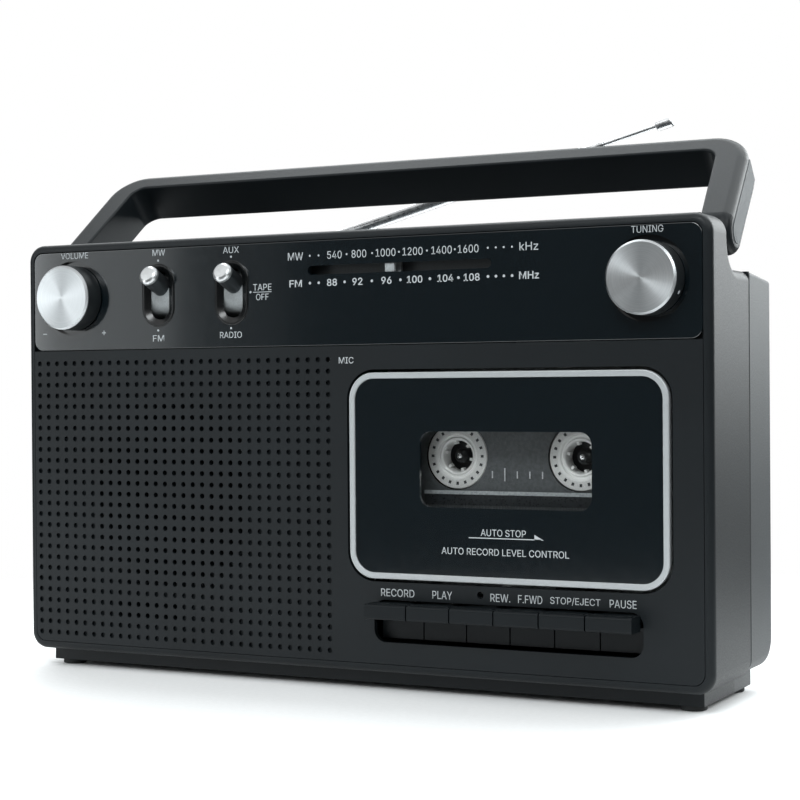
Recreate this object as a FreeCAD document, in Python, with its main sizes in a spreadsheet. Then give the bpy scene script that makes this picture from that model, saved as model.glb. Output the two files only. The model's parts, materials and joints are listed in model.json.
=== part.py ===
"""Portable radio cassette player, built as separate parts in one parametric document.

The case frame has its origin at the middle of the front face's lower edge: X to the right,
Y towards the back and Z up. Every piece is moved by case_shift to the part's own origin,
the middle of its base on the table. All lengths are millimetres.
"""
import FreeCAD, Part
import math
import os
import Sketcher

PARTS_FOLDER = "parts"

# name, value, what it is
SIZES = [
    # case
    ("case_width", 280.0), ("face_height", 158.5), ("face_corner", 6.5), ("face_round", 2.6),
    ("front_depth", 41.1), ("case_depth", 70.0), ("shell_wall", 2.2), ("ledge_depth", 18.7),
    ("deck_drop", 17.5), ("deck_round", 10.0), ("shoulder_round", 3.6), ("back_fall", 2.6),
    ("back_round", 10.0), ("side_round", 5.0), ("brow_round", 1.2), ("belly_height", 1.6),
    ("seam_chamfer", 0.6),
    ("plinth_drop", 5.0), ("plinth_inset", 6.0), ("plinth_front", 8.0), ("plinth_rear", 10.0),
    ("foot_height", 7.0), ("foot_radius", 4.6), ("foot_inset", 11.5), ("foot_front", 13.5),
    ("foot_rear", 15.0),
    ("boss_radius", 4.0), ("boss_inset", 6.0), ("boss_low", 14.0), ("boss_drop", 28.5),
    ("screw_radius", 1.5), ("screw_head_radius", 3.0), ("screw_head_height", 1.6),
    ("screw_length", 26.0), ("screw_clearance", 0.15),
    # front panels
    ("panel_inset", 3.0), ("panel_thick", 2.0), ("panel_lip", 3.0), ("panel_corner", 4.0),
    ("panel_gap", 0.2), ("dial_tall", 41.5), ("dial_backing", 1.4),
    ("hole_pitch", 4.207), ("hole_radius", 0.98), ("hole_depth", 1.1), ("grille_left", 5.63),
    ("grille_drop", 5.04),
    # knobs
    ("knob_inset", 22.1), ("knob_drop", 21.2), ("knob_radius", 12.5), ("knob_reach", 6.3),
    ("knob_bowl_gap", 2.0), ("knob_bowl_depth", 1.8), ("knob_clearance", 0.5),
    ("cap_inset", 0.15), ("cap_thick", 1.2), ("cap_bevel", 0.7),
    ("shaft_radius", 3.0), ("running_fit", 0.05), ("shaft_hole_gap", 0.4),
    # tone-band and function switches
    ("band_switch_in", 62.3), ("switch_pitch", 32.8), ("slot_gap", 0.6),
    ("slot_tall", 23.0), ("lever_radius", 3.75), ("lever_length", 18.4), ("lever_tilt", 24.0),
    ("lever_pivot_depth", 10.0), ("drum_radius", 8.8), ("drum_width", 12.4),
    # dial
    ("dial_slot_in", 115.5), ("dial_slot_long", 73.2), ("dial_slot_drop", 14.1),
    ("dial_slot_tall", 3.3), ("pointer_in", 118.75), ("pointer_wide", 3.7), ("pointer_gap", 0.2),
    ("cord_drum_radius", 6.9), ("tuning_drum_radius", 22.0), ("tuning_drum_in", 55.0),
    ("tuning_drum_drop", 28.5),
    # cassette compartment
    ("well_in", 74.95), ("lid_width", 120.3), ("lid_low", 33.6), ("lid_high", 107.1),
    ("lid_corner", 9.7), ("lid_gap", 1.1), ("lid_thick", 2.2), ("ring_width", 2.2),
    ("ring_proud", 0.6), ("window_wide", 64.8), ("window_low", 59.5), ("window_high", 86.2),
    ("window_corner", 4.4), ("window_lip", 1.2), ("window_shift", 0.25), ("window_thick", 1.2),
    ("lid_hinge_depth", 4.6), ("lid_hinge_rise", 10.4), ("lid_pin_radius", 1.2),
    ("lid_ear_wall", 1.0),
    # cassette
    ("tape_wide", 100.4), ("tape_low", 41.5), ("tape_tall", 63.8), ("tape_front", 11.4),
    ("tape_thick", 8.7), ("tape_skin", 1.2), ("tape_corner", 2.0), ("nose_wide", 68.0),
    ("nose_tall", 15.0), ("nose_proud", 1.6), ("hub_height", 35.6), ("hub_spread", 47.1),
    ("hub_radius", 11.7), ("hub_bore", 5.0), ("hub_long", 5.6), ("hub_hole", 8.4),
    ("pack_radius", 21.0), ("tape_film", 3.8),
    # tape drive
    ("chassis_depth", 24.0), ("chassis_thick", 1.5), ("chassis_margin", 7.0),
    ("chassis_low", 27.0), ("chassis_high", 113.0),
    ("spindle_radius", 3.0), ("spindle_front", 14.5), ("reel_radius", 10.0),
    ("capstan_x", 20.0), ("capstan_radius", 1.2), ("roller_radius", 6.0), ("roller_gap", 0.35),
    ("head_lift", 5.0), ("flywheel_radius", 20.0), ("flywheel_front", 28.0),
    ("flywheel_thick", 4.5), ("motor_x", 38.0), ("motor_z", 93.0), ("motor_radius", 15.0),
    ("motor_long", 24.0), ("pulley_radius", 4.0), ("belt_thick", 0.8),
    # keys
    ("key_pitch", 16.7), ("key_gap", 0.5), ("key_reach", 9.3), ("key_top", 25.4),
    ("ledge_tall", 5.3), ("skirt_low", 12.0), ("skirt_depth", 5.0), ("key_open_wide", 101.4),
    ("key_open_low", 11.0), ("key_open_high", 26.2), ("key_open_corner", 4.5),
    ("key_shaft_margin", 5.0), ("key_axle_depth", 32.0), ("key_axle_z", 20.0), ("key_axle_radius", 2.0),
    ("key_neck_inset", 2.6), ("key_neck_gap", 0.8), ("key_arm_wide", 6.0), ("key_arm_tall", 5.2),
    ("lamp_shift", 8.95), ("lamp_height", 29.4), ("lamp_radius", 1.2),
    # speaker, board, power
    ("speaker_radius", 38.5), ("surround_wide", 4.5),
    ("speaker_deep", 30.0), ("magnet_radius", 22.5),
    ("board_depth", 36.0), ("board_thick", 1.6),
    ("cell_radius", 12.9), ("cell_long", 50.0), ("bay_in", 67.0), ("bay_wide", 102.0),
    ("door_low", 13.0), ("door_high", 61.0), ("door_gap", 0.4), ("door_hinge_gap", 0.6),
    ("jack_in", 100.0), ("jack_z", 100.0), ("jack_radius", 1.75), ("jack_spread", 16.0),
    ("inlet_in", 48.0), ("inlet_z", 24.0), ("inlet_wide", 18.0), ("inlet_tall", 11.0),
    # handle
    ("handle_pivot_y", 28.9), ("handle_pivot_drop", 4.5), ("handle_lean", 48.9),
    ("strap_wide", 16.5), ("arm_thick", 11.0), ("handle_side_gap", 0.4), ("handle_rise", 47.4),
    ("bar_thick", 9.1), ("handle_taper", 3.6), ("handle_corner", 15.0), ("handle_inner", 6.0),
    ("handle_edge", 3.4), ("handle_lip", 0.9), ("lug_thick", 9.0), ("lug_gap", 1.8),
    ("lug_radius", 7.0), ("pin_radius", 3.5),
    # aerial
    ("aerial_reach", 12.5), ("aerial_in", 39.6), ("aerial_drop", 8.5), ("aerial_tilt", 14.4),
    ("aerial_end", 205.5), ("aerial_step", 10.0), ("aerial_rod_shows", 22.0),
    ("aerial_tip_long", 6.5), ("aerial_tip_radius", 2.15), ("tube_radius", 2.35),
    ("tube_start", 24.0), ("rod_start", 62.0), ("tube_wall", 0.35), ("tube_fit", 0.05),
    ("rod_radius", 0.8), ("bracket_wide", 18.0), ("bracket_thick", 2.5), ("bracket_tall", 20.0),
    ("bracket_rise", 8.0),
    ("swivel_radius", 4.0), ("knuckle_radius", 3.4), ("knuckle_thick", 3.4), ("ear_gap", 0.3),
]

TUBE_COUNT = 3
ROUND_STEPS = 6
GRILLE_COLUMNS = 32
GRILLE_ROWS = 26
# The open holes over the speaker and the sound slit, as row: (first column, last column).
OPEN_HOLES = {
    4: (10, 19), 5: (9, 20), 6: (8, 21), 7: (7, 22), 8: (7, 22), 9: (7, 22), 10: (7, 22),
    11: (7, 22), 12: (7, 22), 13: (7, 22), 14: (7, 22), 15: (7, 22), 16: (7, 22), 17: (7, 22),
    18: (8, 21), 19: (9, 20), 20: (10, 19), 22: (9, 15), 23: (9, 15),
}
KEY_NAMES = ["record_key", "play_key", "rewind_key", "fast_forward_key", "stop_eject_key",
             "pause_key"]

document = FreeCAD.newDocument("cassette_player")


class Size:
    """A length that carries its value and its formula in the sheet of sizes."""

    def __init__(self, value, formula):
        self.value = float(value)
        self.formula = formula

    def _join(self, other, sign, value):
        return Size(value, "(%s %s %s)" % (self.formula, sign, size(other).formula))

    def __add__(self, other):
        return self._join(other, "+", self.value + size(other).value)

    def __sub__(self, other):
        return self._join(other, "-", self.value - size(other).value)

    def __mul__(self, other):
        return self._join(other, "*", self.value * size(other).value)

    def __truediv__(self, other):
        return self._join(other, "/", self.value / size(other).value)

    def __radd__(self, other):
        return size(other) + self

    def __rsub__(self, other):
        return size(other) - self

    def __rmul__(self, other):
        return size(other) * self

    def __neg__(self):
        return Size(-self.value, "(0 - %s)" % self.formula)


def size(number):
    """Take a plain number or a Size as a Size."""
    if isinstance(number, Size):
        return number
    return Size(number, "(%.6g)" % number)


def make_sheet():
    """Write the driving sizes into the sheet, and return them by name."""
    sheet = document.addObject("Spreadsheet::Sheet", "sizes")
    for row, (alias, value) in enumerate(SIZES, start=1):
        sheet.set("A%d" % row, alias)
        sheet.set("B%d" % row, str(value))
        sheet.setAlias("B%d" % row, alias)
    document.recompute()
    return {alias: Size(sheet.get(alias), "sizes." + alias) for alias, value in SIZES}


S = make_sheet()
HALF = S["case_width"] / 2
DEPTH = S["case_depth"]
TOP = S["face_height"]

# Places along the case, from its ends, its top and its back.
DECK_HEIGHT = TOP - S["deck_drop"]
BACK_TOP = DECK_HEIGHT - S["back_fall"]
DECK_INSIDE = DECK_HEIGHT - S["shell_wall"]
BOSS_HEIGHTS = (S["boss_low"], TOP - S["boss_drop"])
PLINTH_BACK = DEPTH - S["plinth_rear"]
DIAL_BOTTOM = TOP - S["dial_tall"]
GRILLE_TOP = DIAL_BOTTOM - S["grille_drop"]
KNOB_HEIGHT = TOP - S["knob_drop"]
BOWL_RADIUS = S["knob_radius"] + S["knob_bowl_gap"]
BAND_SWITCH_X = S["band_switch_in"] - HALF
FUNCTION_SWITCH_X = BAND_SWITCH_X + S["switch_pitch"]
SLOT_WIDTH = S["drum_width"] + S["slot_gap"] * 2
DIAL_SLOT_X = HALF - S["dial_slot_in"]
DIAL_SLOT_Z = TOP - S["dial_slot_drop"]
POINTER_X = HALF - S["pointer_in"]
TUNING_DRUM_X = HALF - S["tuning_drum_in"]
TUNING_DRUM_Z = TOP - S["tuning_drum_drop"]
WELL_X = HALF - S["well_in"]
WINDOW_X = WELL_X + S["window_shift"]
LID_HINGE_Z = S["lid_low"] + S["lid_hinge_rise"]
CHASSIS_HALF = S["tape_wide"] / 2 + S["chassis_margin"]
LAMP_X = WELL_X - S["lamp_shift"]
BAY_X = S["bay_in"] - HALF
JACK_X = HALF - S["jack_in"]
INLET_X = HALF - S["inlet_in"]
PIVOT_Z = TOP - S["handle_pivot_drop"]
AERIAL_X = S["aerial_in"] - HALF
AERIAL_Y = DEPTH + S["aerial_reach"]
AERIAL_Z = TOP - S["aerial_drop"]
BRACKET_TOP = AERIAL_Z - S["bracket_rise"]
BRACKET_LOW = BRACKET_TOP - S["bracket_rise"] - S["bracket_tall"]
FRONT_SHIFT = (S["key_reach"] - AERIAL_Y - S["swivel_radius"]) / 2


# ---------------------------------------------------------------- sketch profiles

class Box:
    """A rectangle, with round corners when a radius is given."""

    def __init__(self, left, right, low, high, radius=None):
        self.sides = [size(left), size(right), size(low), size(high)]
        self.radius = size(radius) if radius is not None else None

    def draw(self, sketch):
        x0, x1, y0, y1 = [side.value for side in self.sides]
        r = self.radius.value if self.radius else 0.0
        vector = FreeCAD.Vector
        first = sketch.GeometryCount
        ends = [((x0 + r, y0), (x1 - r, y0)), ((x1, y0 + r), (x1, y1 - r)),
                ((x1 - r, y1), (x0 + r, y1)), ((x0, y1 - r), (x0, y0 + r))]
        for start, end in ends:
            sketch.addGeometry(Part.LineSegment(vector(*start, 0), vector(*end, 0)), False)
        for line in (0, 2):
            sketch.addConstraint(Sketcher.Constraint("Horizontal", first + line))
        for line in (1, 3):
            sketch.addConstraint(Sketcher.Constraint("Vertical", first + line))
        if self.radius:
            centres = [(x0 + r, y0 + r), (x1 - r, y0 + r), (x1 - r, y1 - r), (x0 + r, y1 - r)]
            for turn, centre in enumerate(centres):
                circle = Part.Circle(vector(*centre, 0), vector(0, 0, 1), r)
                begin = math.pi + turn * math.pi / 2
                sketch.addGeometry(Part.ArcOfCircle(circle, begin, begin + math.pi / 2), False)
            arc = first + 4
            for turn in range(4):
                before = first + (turn - 1) % 4
                after = first + turn
                sketch.addConstraint(Sketcher.Constraint("Tangent", before, 2, arc + turn, 1))
                sketch.addConstraint(Sketcher.Constraint("Tangent", arc + turn, 2, after, 1))
            for turn in range(1, 4):
                sketch.addConstraint(Sketcher.Constraint("Equal", arc, arc + turn))
            bind_radius(sketch, arc, self.radius)
        else:
            for line in range(4):
                after = first + (line + 1) % 4
                sketch.addConstraint(Sketcher.Constraint("Coincident", first + line, 2, after, 1))
        bind_place(sketch, "DistanceX", first + 3, 1, self.sides[0])
        bind_place(sketch, "DistanceX", first + 1, 1, self.sides[1])
        bind_place(sketch, "DistanceY", first, 1, self.sides[2])
        bind_place(sketch, "DistanceY", first + 2, 1, self.sides[3])


class Disc:
    """A circle."""

    def __init__(self, x, y, radius):
        self.x, self.y, self.radius = size(x), size(y), size(radius)

    def draw(self, sketch):
        centre = FreeCAD.Vector(self.x.value, self.y.value, 0)
        circle = Part.Circle(centre, FreeCAD.Vector(0, 0, 1), self.radius.value)
        index = sketch.addGeometry(circle, False)
        bind_place(sketch, "DistanceX", index, 3, self.x)
        bind_place(sketch, "DistanceY", index, 3, self.y)
        bind_radius(sketch, index, self.radius)


class Outline:
    """A closed outline of straight sides through its points."""

    def __init__(self, *points):
        self.points = [(size(x), size(y)) for x, y in points]

    def draw(self, sketch):
        first = sketch.GeometryCount
        places = [FreeCAD.Vector(x.value, y.value, 0) for x, y in self.points]
        count = len(places)
        for index, place in enumerate(places):
            line = Part.LineSegment(place, places[(index + 1) % count])
            sketch.addGeometry(line, False)
        for index in range(count):
            after = first + (index + 1) % count
            sketch.addConstraint(Sketcher.Constraint("Coincident", first + index, 2, after, 1))
        for index, (x, y) in enumerate(self.points):
            bind_place(sketch, "DistanceX", first + index, 1, x)
            bind_place(sketch, "DistanceY", first + index, 1, y)


def bind_place(sketch, kind, geometry, point, length):
    """Hold a point of the sketch at a length from the sketch's origin."""
    if abs(length.value) < 1e-9 and length.formula == "(0)":
        axis = -2 if kind == "DistanceX" else -1
        sketch.addConstraint(Sketcher.Constraint("PointOnObject", geometry, point, axis))
        return
    rule = Sketcher.Constraint(kind, -1, 1, geometry, point, length.value)
    index = sketch.addConstraint(rule)
    sketch.setExpression("Constraints[%d]" % index, length.formula)


def bind_radius(sketch, geometry, radius):
    """Hold the radius of a circle or an arc."""
    index = sketch.addConstraint(Sketcher.Constraint("Radius", geometry, radius.value))
    sketch.setExpression("Constraints[%d]" % index, radius.formula)


# ---------------------------------------------------------------- pieces

PLANES = {"X": "YZ_Plane", "Y": "XZ_Plane", "Z": "XY_Plane"}
PIECES = []


class Piece:
    """One sub-part: a body whose features are added and cut along the case's axes."""

    def __init__(self, name, at=(0, 0, 0), turn=None, angle=0):
        self.name = name
        self.body = document.addObject("PartDesign::Body", name)
        self.body.Label = name
        self.body.AllowCompound = True
        place = [size(at[0]), size(at[1]) + FRONT_SHIFT, size(at[2]) + S["foot_height"]]
        if turn:
            self.body.Placement.Rotation = FreeCAD.Rotation(FreeCAD.Vector(*turn), 0)
            self.body.setExpression("Placement.Rotation.Axis.x", "%g" % turn[0])
            self.body.setExpression("Placement.Rotation.Axis.y", "%g" % turn[1])
            self.body.setExpression("Placement.Rotation.Axis.z", "%g" % turn[2])
            self.body.setExpression("Placement.Rotation.Angle", size(angle).formula + " * 1 deg")
        for axis, length in zip("xyz", place):
            self.body.setExpression("Placement.Base." + axis, length.formula)
        PIECES.append(self.body)

    def sketch(self, axis, offsets, profiles):
        """A sketch across an axis, with its origin moved by x, y and depth offsets."""
        plane = next(feature for feature in self.body.Origin.OriginFeatures
                     if feature.Role == PLANES[axis])
        sketch = self.body.newObject("Sketcher::SketchObject", self.name + "_sketch")
        sketch.AttachmentSupport = [(plane, "")]
        sketch.MapMode = "FlatFace"
        for letter, offset in zip("xyz", offsets):
            if size(offset).formula != "(0)":
                sketch.setExpression("AttachmentOffset.Base." + letter, size(offset).formula)
        for profile in profiles:
            profile.draw(sketch)
        return sketch

    def volume(self):
        document.recompute()
        return self.body.Shape.Volume if not self.body.Shape.isNull() else 0.0

    def _extrude(self, kind, axis, start, end, profiles):
        start, end = size(start), size(end)
        depth = -start if axis == "Y" else start
        sketch = self.sketch(axis, (0, 0, depth), profiles)
        feature = self.body.newObject("PartDesign::" + kind, self.name + "_" + kind.lower())
        feature.Profile = sketch
        feature.setExpression("Length", (end - start).formula)
        feature.Reversed = (axis == "Y") == (kind == "Pad")
        return feature

    def add(self, axis, start, end, *profiles):
        """Pad the profiles from start to end along the axis."""
        before = self.volume()
        self._extrude("Pad", axis, start, end, profiles)
        if self.volume() <= before:
            raise RuntimeError(self.name + ": a pad added nothing")
        return self

    def cut(self, axis, start, end, *profiles):
        """Pocket the profiles from start to end along the axis."""
        before = self.volume()
        self._extrude("Pocket", axis, start, end, profiles)
        if self.volume() >= before:
            raise RuntimeError(self.name + ": a pocket cut nothing")
        return self

    def spin(self, axis, centre, *points, angle=360.0):
        """Revolve an outline of (radius, place along the axis) about an axis line."""
        a, b = size(centre[0]), size(centre[1])
        if axis == "X":
            sketch = self.sketch("Y", (0, b, -a), [Outline(*[(along, r) for r, along in points])])
            reference = "H_Axis"
        elif axis == "Y":
            sketch = self.sketch("Z", (a, 0, b), [Outline(*points)])
            reference = "V_Axis"
        else:
            sketch = self.sketch("Y", (a, 0, -b), [Outline(*points)])
            reference = "V_Axis"
        feature = self.body.newObject("PartDesign::Revolution", self.name + "_revolution")
        feature.Profile = sketch
        feature.ReferenceAxis = (sketch, [reference])
        feature.Angle = angle
        feature.Midplane = angle < 360.0
        return self

    def round(self, radius, chosen, kind="Fillet"):
        """Fillet or chamfer the edges that the test picks."""
        document.recompute()
        base = self.body.Tip
        names = []
        for index, edge in enumerate(base.Shape.Edges, start=1):
            if chosen(edge):
                names.append("Edge%d" % index)
        if not names:
            raise RuntimeError(self.name + ": no edge to round")
        feature = self.body.newObject("PartDesign::" + kind, self.name + "_" + kind.lower())
        feature.Base = (base, names)
        feature.setExpression("Radius" if kind == "Fillet" else "Size", size(radius).formula)
        document.recompute()
        if not feature.isValid():
            raise RuntimeError(self.name + ": the edges can't be rounded")
        return self


def near(value, target, slack=0.02):
    return abs(value - size(target).value) < slack


def lies_in(edge, **planes):
    """Whether an edge's box lies in the planes given, such as y=0."""
    box = edge.BoundBox
    spans = {"x": (box.XMin, box.XMax), "y": (box.YMin, box.YMax), "z": (box.ZMin, box.ZMax)}
    for axis, target in planes.items():
        low, high = spans[axis]
        if not (near(low, target) and near(high, target)):
            return False
    return True


def runs_along(edge, axis):
    """Whether an edge is a straight line along an axis."""
    if edge.Curve.TypeId != "Part::GeomLine":
        return False
    direction = edge.tangentAt(edge.FirstParameter)
    return abs(abs(getattr(direction, axis)) - 1.0) < 1e-6


# ---------------------------------------------------------------- the case

def lug_span(side):
    """The x range of the handle's lug on one side of the case."""
    outer = HALF - S["handle_side_gap"] - S["arm_thick"] - S["lug_gap"]
    return plate_span(size(0), side, outer - S["lug_thick"], outer)


def front_shell():
    """The front half of the case: a frame for the panels, a raised ledge and a low deck."""
    piece = Piece("front_shell")
    wall = S["shell_wall"]
    ledge = S["ledge_depth"]
    top = TOP
    depth = S["front_depth"]
    piece.add("Y", 0, depth, Box(-HALF, HALF, 0, top, S["face_corner"]))
    piece.cut("X", -HALF, HALF, Box(ledge, depth + 1, DECK_HEIGHT, top + 1))
    piece.round(S["deck_round"], lambda edge: lies_in(edge, y=ledge, z=DECK_HEIGHT))
    piece.round(S["face_round"], lambda edge: lies_in(edge, y=0))
    piece.round(S["shoulder_round"],
                lambda edge: lies_in(edge, y=ledge) and edge.BoundBox.ZMax > top.value - 0.1
                and edge.BoundBox.XLength > 10)
    piece.round(S["seam_chamfer"], lambda edge: lies_in(edge, y=depth), "Chamfer")
    for side in (-1, 1):
        low, high = lug_span(side)
        pivot_y, pivot_z, radius = S["handle_pivot_y"], PIVOT_Z, S["lug_radius"]
        piece.add("X", low, high,
                  Box(pivot_y - radius, pivot_y + radius, DECK_HEIGHT - 1, pivot_z))
        piece.add("X", low, high, Disc(pivot_y, pivot_z, radius))
    plinth = HALF - S["plinth_inset"]
    piece.add("Y", S["plinth_front"], depth, Box(-plinth, plinth, -S["plinth_drop"], 1))
    inset = S["panel_inset"]
    lip = inset + S["panel_lip"]
    rebate = S["panel_thick"]
    wall_back = rebate + wall
    piece.cut("Y", -1, rebate,
              Box(-HALF + inset, HALF - inset, inset, top - inset, S["panel_corner"]))
    piece.cut("Y", rebate - 0.5, wall_back + 0.5, Box(-HALF + lip, HALF - lip, lip, top - lip))
    piece.cut("Y", wall_back, depth + 1, Box(-HALF + wall, HALF - wall, wall, DECK_INSIDE))
    piece.cut("X", -HALF + lip, HALF - lip,
              Box(wall_back, ledge - wall, DECK_INSIDE - 20, top - wall))
    for side in (-1, 1):
        x = side * (HALF - S["boss_inset"])
        for z in BOSS_HEIGHTS:
            piece.add("Y", wall_back, depth, Disc(x, z, S["boss_radius"]))
            piece.cut("Y", wall_back + 4, depth + 0.5,
                      Disc(x, z, S["screw_radius"] + S["screw_clearance"]))
        low, high = lug_span(side)
        piece.cut("X", low - 1, high + 1,
                  Disc(S["handle_pivot_y"], PIVOT_Z, S["pin_radius"]))
    return piece


def rear_shell():
    """The rear half of the case, with the battery bay, the jacks and the screw bosses."""
    piece = Piece("rear_shell")
    wall = S["shell_wall"]
    start = S["front_depth"]
    belly = S["belly_height"]
    top = DECK_HEIGHT
    back_top = BACK_TOP
    piece.add("X", -HALF, HALF, Outline((start, belly), (start, top), (DEPTH, back_top),
                                        (DEPTH, belly)))
    piece.round(S["back_round"], lambda edge: lies_in(edge, y=DEPTH, z=belly))
    piece.round(S["side_round"],
                lambda edge: edge.BoundBox.YMin > start.value + 1
                and edge.BoundBox.XLength < 0.1)
    piece.round(S["brow_round"], lambda edge: edge.BoundBox.ZMin > 120
                and edge.BoundBox.YLength > 20 and edge.BoundBox.XLength < 0.1)
    piece.round(S["seam_chamfer"], lambda edge: lies_in(edge, y=start), "Chamfer")
    piece.add("Y", start, PLINTH_BACK,
              Box(-HALF + S["plinth_inset"], HALF - S["plinth_inset"], -S["plinth_drop"],
                  belly + 1))
    inner = HALF - wall
    piece.cut("X", -inner, inner,
              Outline((start - 1, belly + wall), (start - 1, top - wall),
                      (DEPTH - wall, back_top - wall),
                      (DEPTH - wall, belly + S["back_round"]),
                      (DEPTH - S["back_round"], belly + wall)))
    gap = S["door_gap"]
    piece.cut("Y", DEPTH - wall - 1, DEPTH + 1,
              Box(BAY_X - S["bay_wide"] / 2 - gap, BAY_X + S["bay_wide"] / 2 + gap,
                  S["door_low"] - S["door_hinge_gap"], S["door_high"] + gap, 2))
    piece.cut("Y", DEPTH - wall - 1, DEPTH + 1,
              Box(BAY_X - S["bay_wide"] / 2 - gap, BAY_X + S["bay_wide"] / 2 + gap,
                  S["door_low"] - S["door_hinge_gap"], S["door_low"] + wall * 2))
    for index in (0, 1):
        piece.cut("Y", DEPTH - wall - 1, DEPTH + 1,
                  Disc(JACK_X + index * S["jack_spread"], S["jack_z"], S["jack_radius"]))
    piece.cut("Y", DEPTH - wall - 1, DEPTH + 1,
              Box(INLET_X - S["inlet_wide"] / 2, INLET_X + S["inlet_wide"] / 2,
                  S["inlet_z"] - S["inlet_tall"] / 2, S["inlet_z"] + S["inlet_tall"] / 2, 4))
    for side in (-1, 1):
        x = side * (HALF - S["boss_inset"])
        for z in BOSS_HEIGHTS:
            clear = S["screw_radius"] + S["screw_clearance"]
            head = S["screw_head_radius"] + S["screw_clearance"]
            piece.add("Y", start, DEPTH - wall + 0.5, Disc(x, z, S["boss_radius"]))
            piece.cut("Y", start - 0.5, DEPTH + 0.5, Disc(x, z, clear))
            piece.cut("Y", DEPTH - S["screw_head_height"] - 0.2, DEPTH + 0.5, Disc(x, z, head))
    return piece


def hole_face(places):
    """The grille's open face: an outline with a round hole at each place."""
    inset = S["panel_inset"].value + S["panel_gap"].value
    half = HALF.value - inset
    low = inset
    high = DIAL_BOTTOM.value - S["panel_gap"].value
    corners = [(-half, low), (half, low), (half, high), (-half, high)]
    wires = [Part.makePolygon([FreeCAD.Vector(x, 0, z) for x, z in corners + corners[:1]])]
    radius = S["hole_radius"].value
    for x, z in places:
        circle = Part.Circle(FreeCAD.Vector(x, 0, z), FreeCAD.Vector(0, -1, 0), radius)
        wires.append(Part.Wire([circle.toShape()]))
    return Part.Face(wires, "Part::FaceMakerBullseye")


def grille_places():
    """Every hole of the grille, and those that go through."""
    pitch = S["hole_pitch"].value
    left = S["grille_left"].value - HALF.value
    every = []
    through = []
    for row in range(GRILLE_ROWS):
        first, last = OPEN_HOLES.get(row, (1, 0))
        for column in range(GRILLE_COLUMNS):
            place = (left + column * pitch, GRILLE_TOP.value - row * pitch)
            every.append(place)
            microphone = row == 0 and column == GRILLE_COLUMNS - 1
            if first <= column <= last or microphone:
                through.append(place)
    return every, through


def rounded_block(left, right, low, high, radius, start, end):
    """A block along Y with round corners, for cutting the front panel."""
    block = Part.makeBox(right - left, end - start, high - low, FreeCAD.Vector(left, start, low))
    edges = [edge for edge in block.Edges if runs_along(edge, "y")]
    return block.makeFillet(radius, edges)


def place_feature(name, shape):
    """Keep a shape made from the sheet's sizes as a sub-part of its own."""
    feature = document.addObject("Part::Feature", name)
    feature.Label = name
    feature.Shape = shape
    feature.setExpression("Placement.Base.y", FRONT_SHIFT.formula)
    feature.setExpression("Placement.Base.z", S["foot_height"].formula)
    PIECES.append(feature)
    return feature


def lid_opening():
    """The sides of the cassette opening in the front panel."""
    reach = S["lid_width"] / 2 + S["lid_gap"]
    return (WELL_X - reach, WELL_X + reach, S["lid_low"] - S["lid_gap"],
            S["lid_high"] + S["lid_gap"])


def front_panel():
    """The panel with the speaker grille, the cassette opening and the key opening."""
    every, through = grille_places()
    thick = S["panel_thick"].value
    shallow = S["hole_depth"].value
    front = hole_face(every).extrude(FreeCAD.Vector(0, shallow, 0))
    back = hole_face(through).extrude(FreeCAD.Vector(0, thick - shallow, 0))
    back.translate(FreeCAD.Vector(0, shallow, 0))
    shape = front.fuse(back)
    left, right, low, high = [side.value for side in lid_opening()]
    corner = S["lid_corner"].value + S["lid_gap"].value
    shape = shape.cut(rounded_block(left, right, low, high, corner, -1, thick + 1))
    half = S["key_open_wide"].value / 2
    middle = WELL_X.value
    shape = shape.cut(rounded_block(middle - half, middle + half, S["key_open_low"].value,
                                    S["key_open_high"].value, S["key_open_corner"].value,
                                    -1, thick + 1))
    lamp = S["lamp_radius"].value + S["running_fit"].value
    lamp_hole = Part.makeCylinder(lamp, thick + 2,
                                  FreeCAD.Vector(LAMP_X.value, -1, S["lamp_height"].value),
                                  FreeCAD.Vector(0, 1, 0))
    shape = shape.cut(lamp_hole)
    # the lower corners follow the frame's round corners
    corner_cut = S["panel_corner"].value
    inset = S["panel_inset"].value + S["panel_gap"].value
    reach = HALF.value - inset
    outer = rounded_block(-reach, reach, inset, DIAL_BOTTOM.value + 50, corner_cut,
                          -1, thick + 1)
    place_feature("front_panel", shape.common(outer))


def knob_places():
    return [-(HALF - S["knob_inset"]), HALF - S["knob_inset"]]


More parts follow.
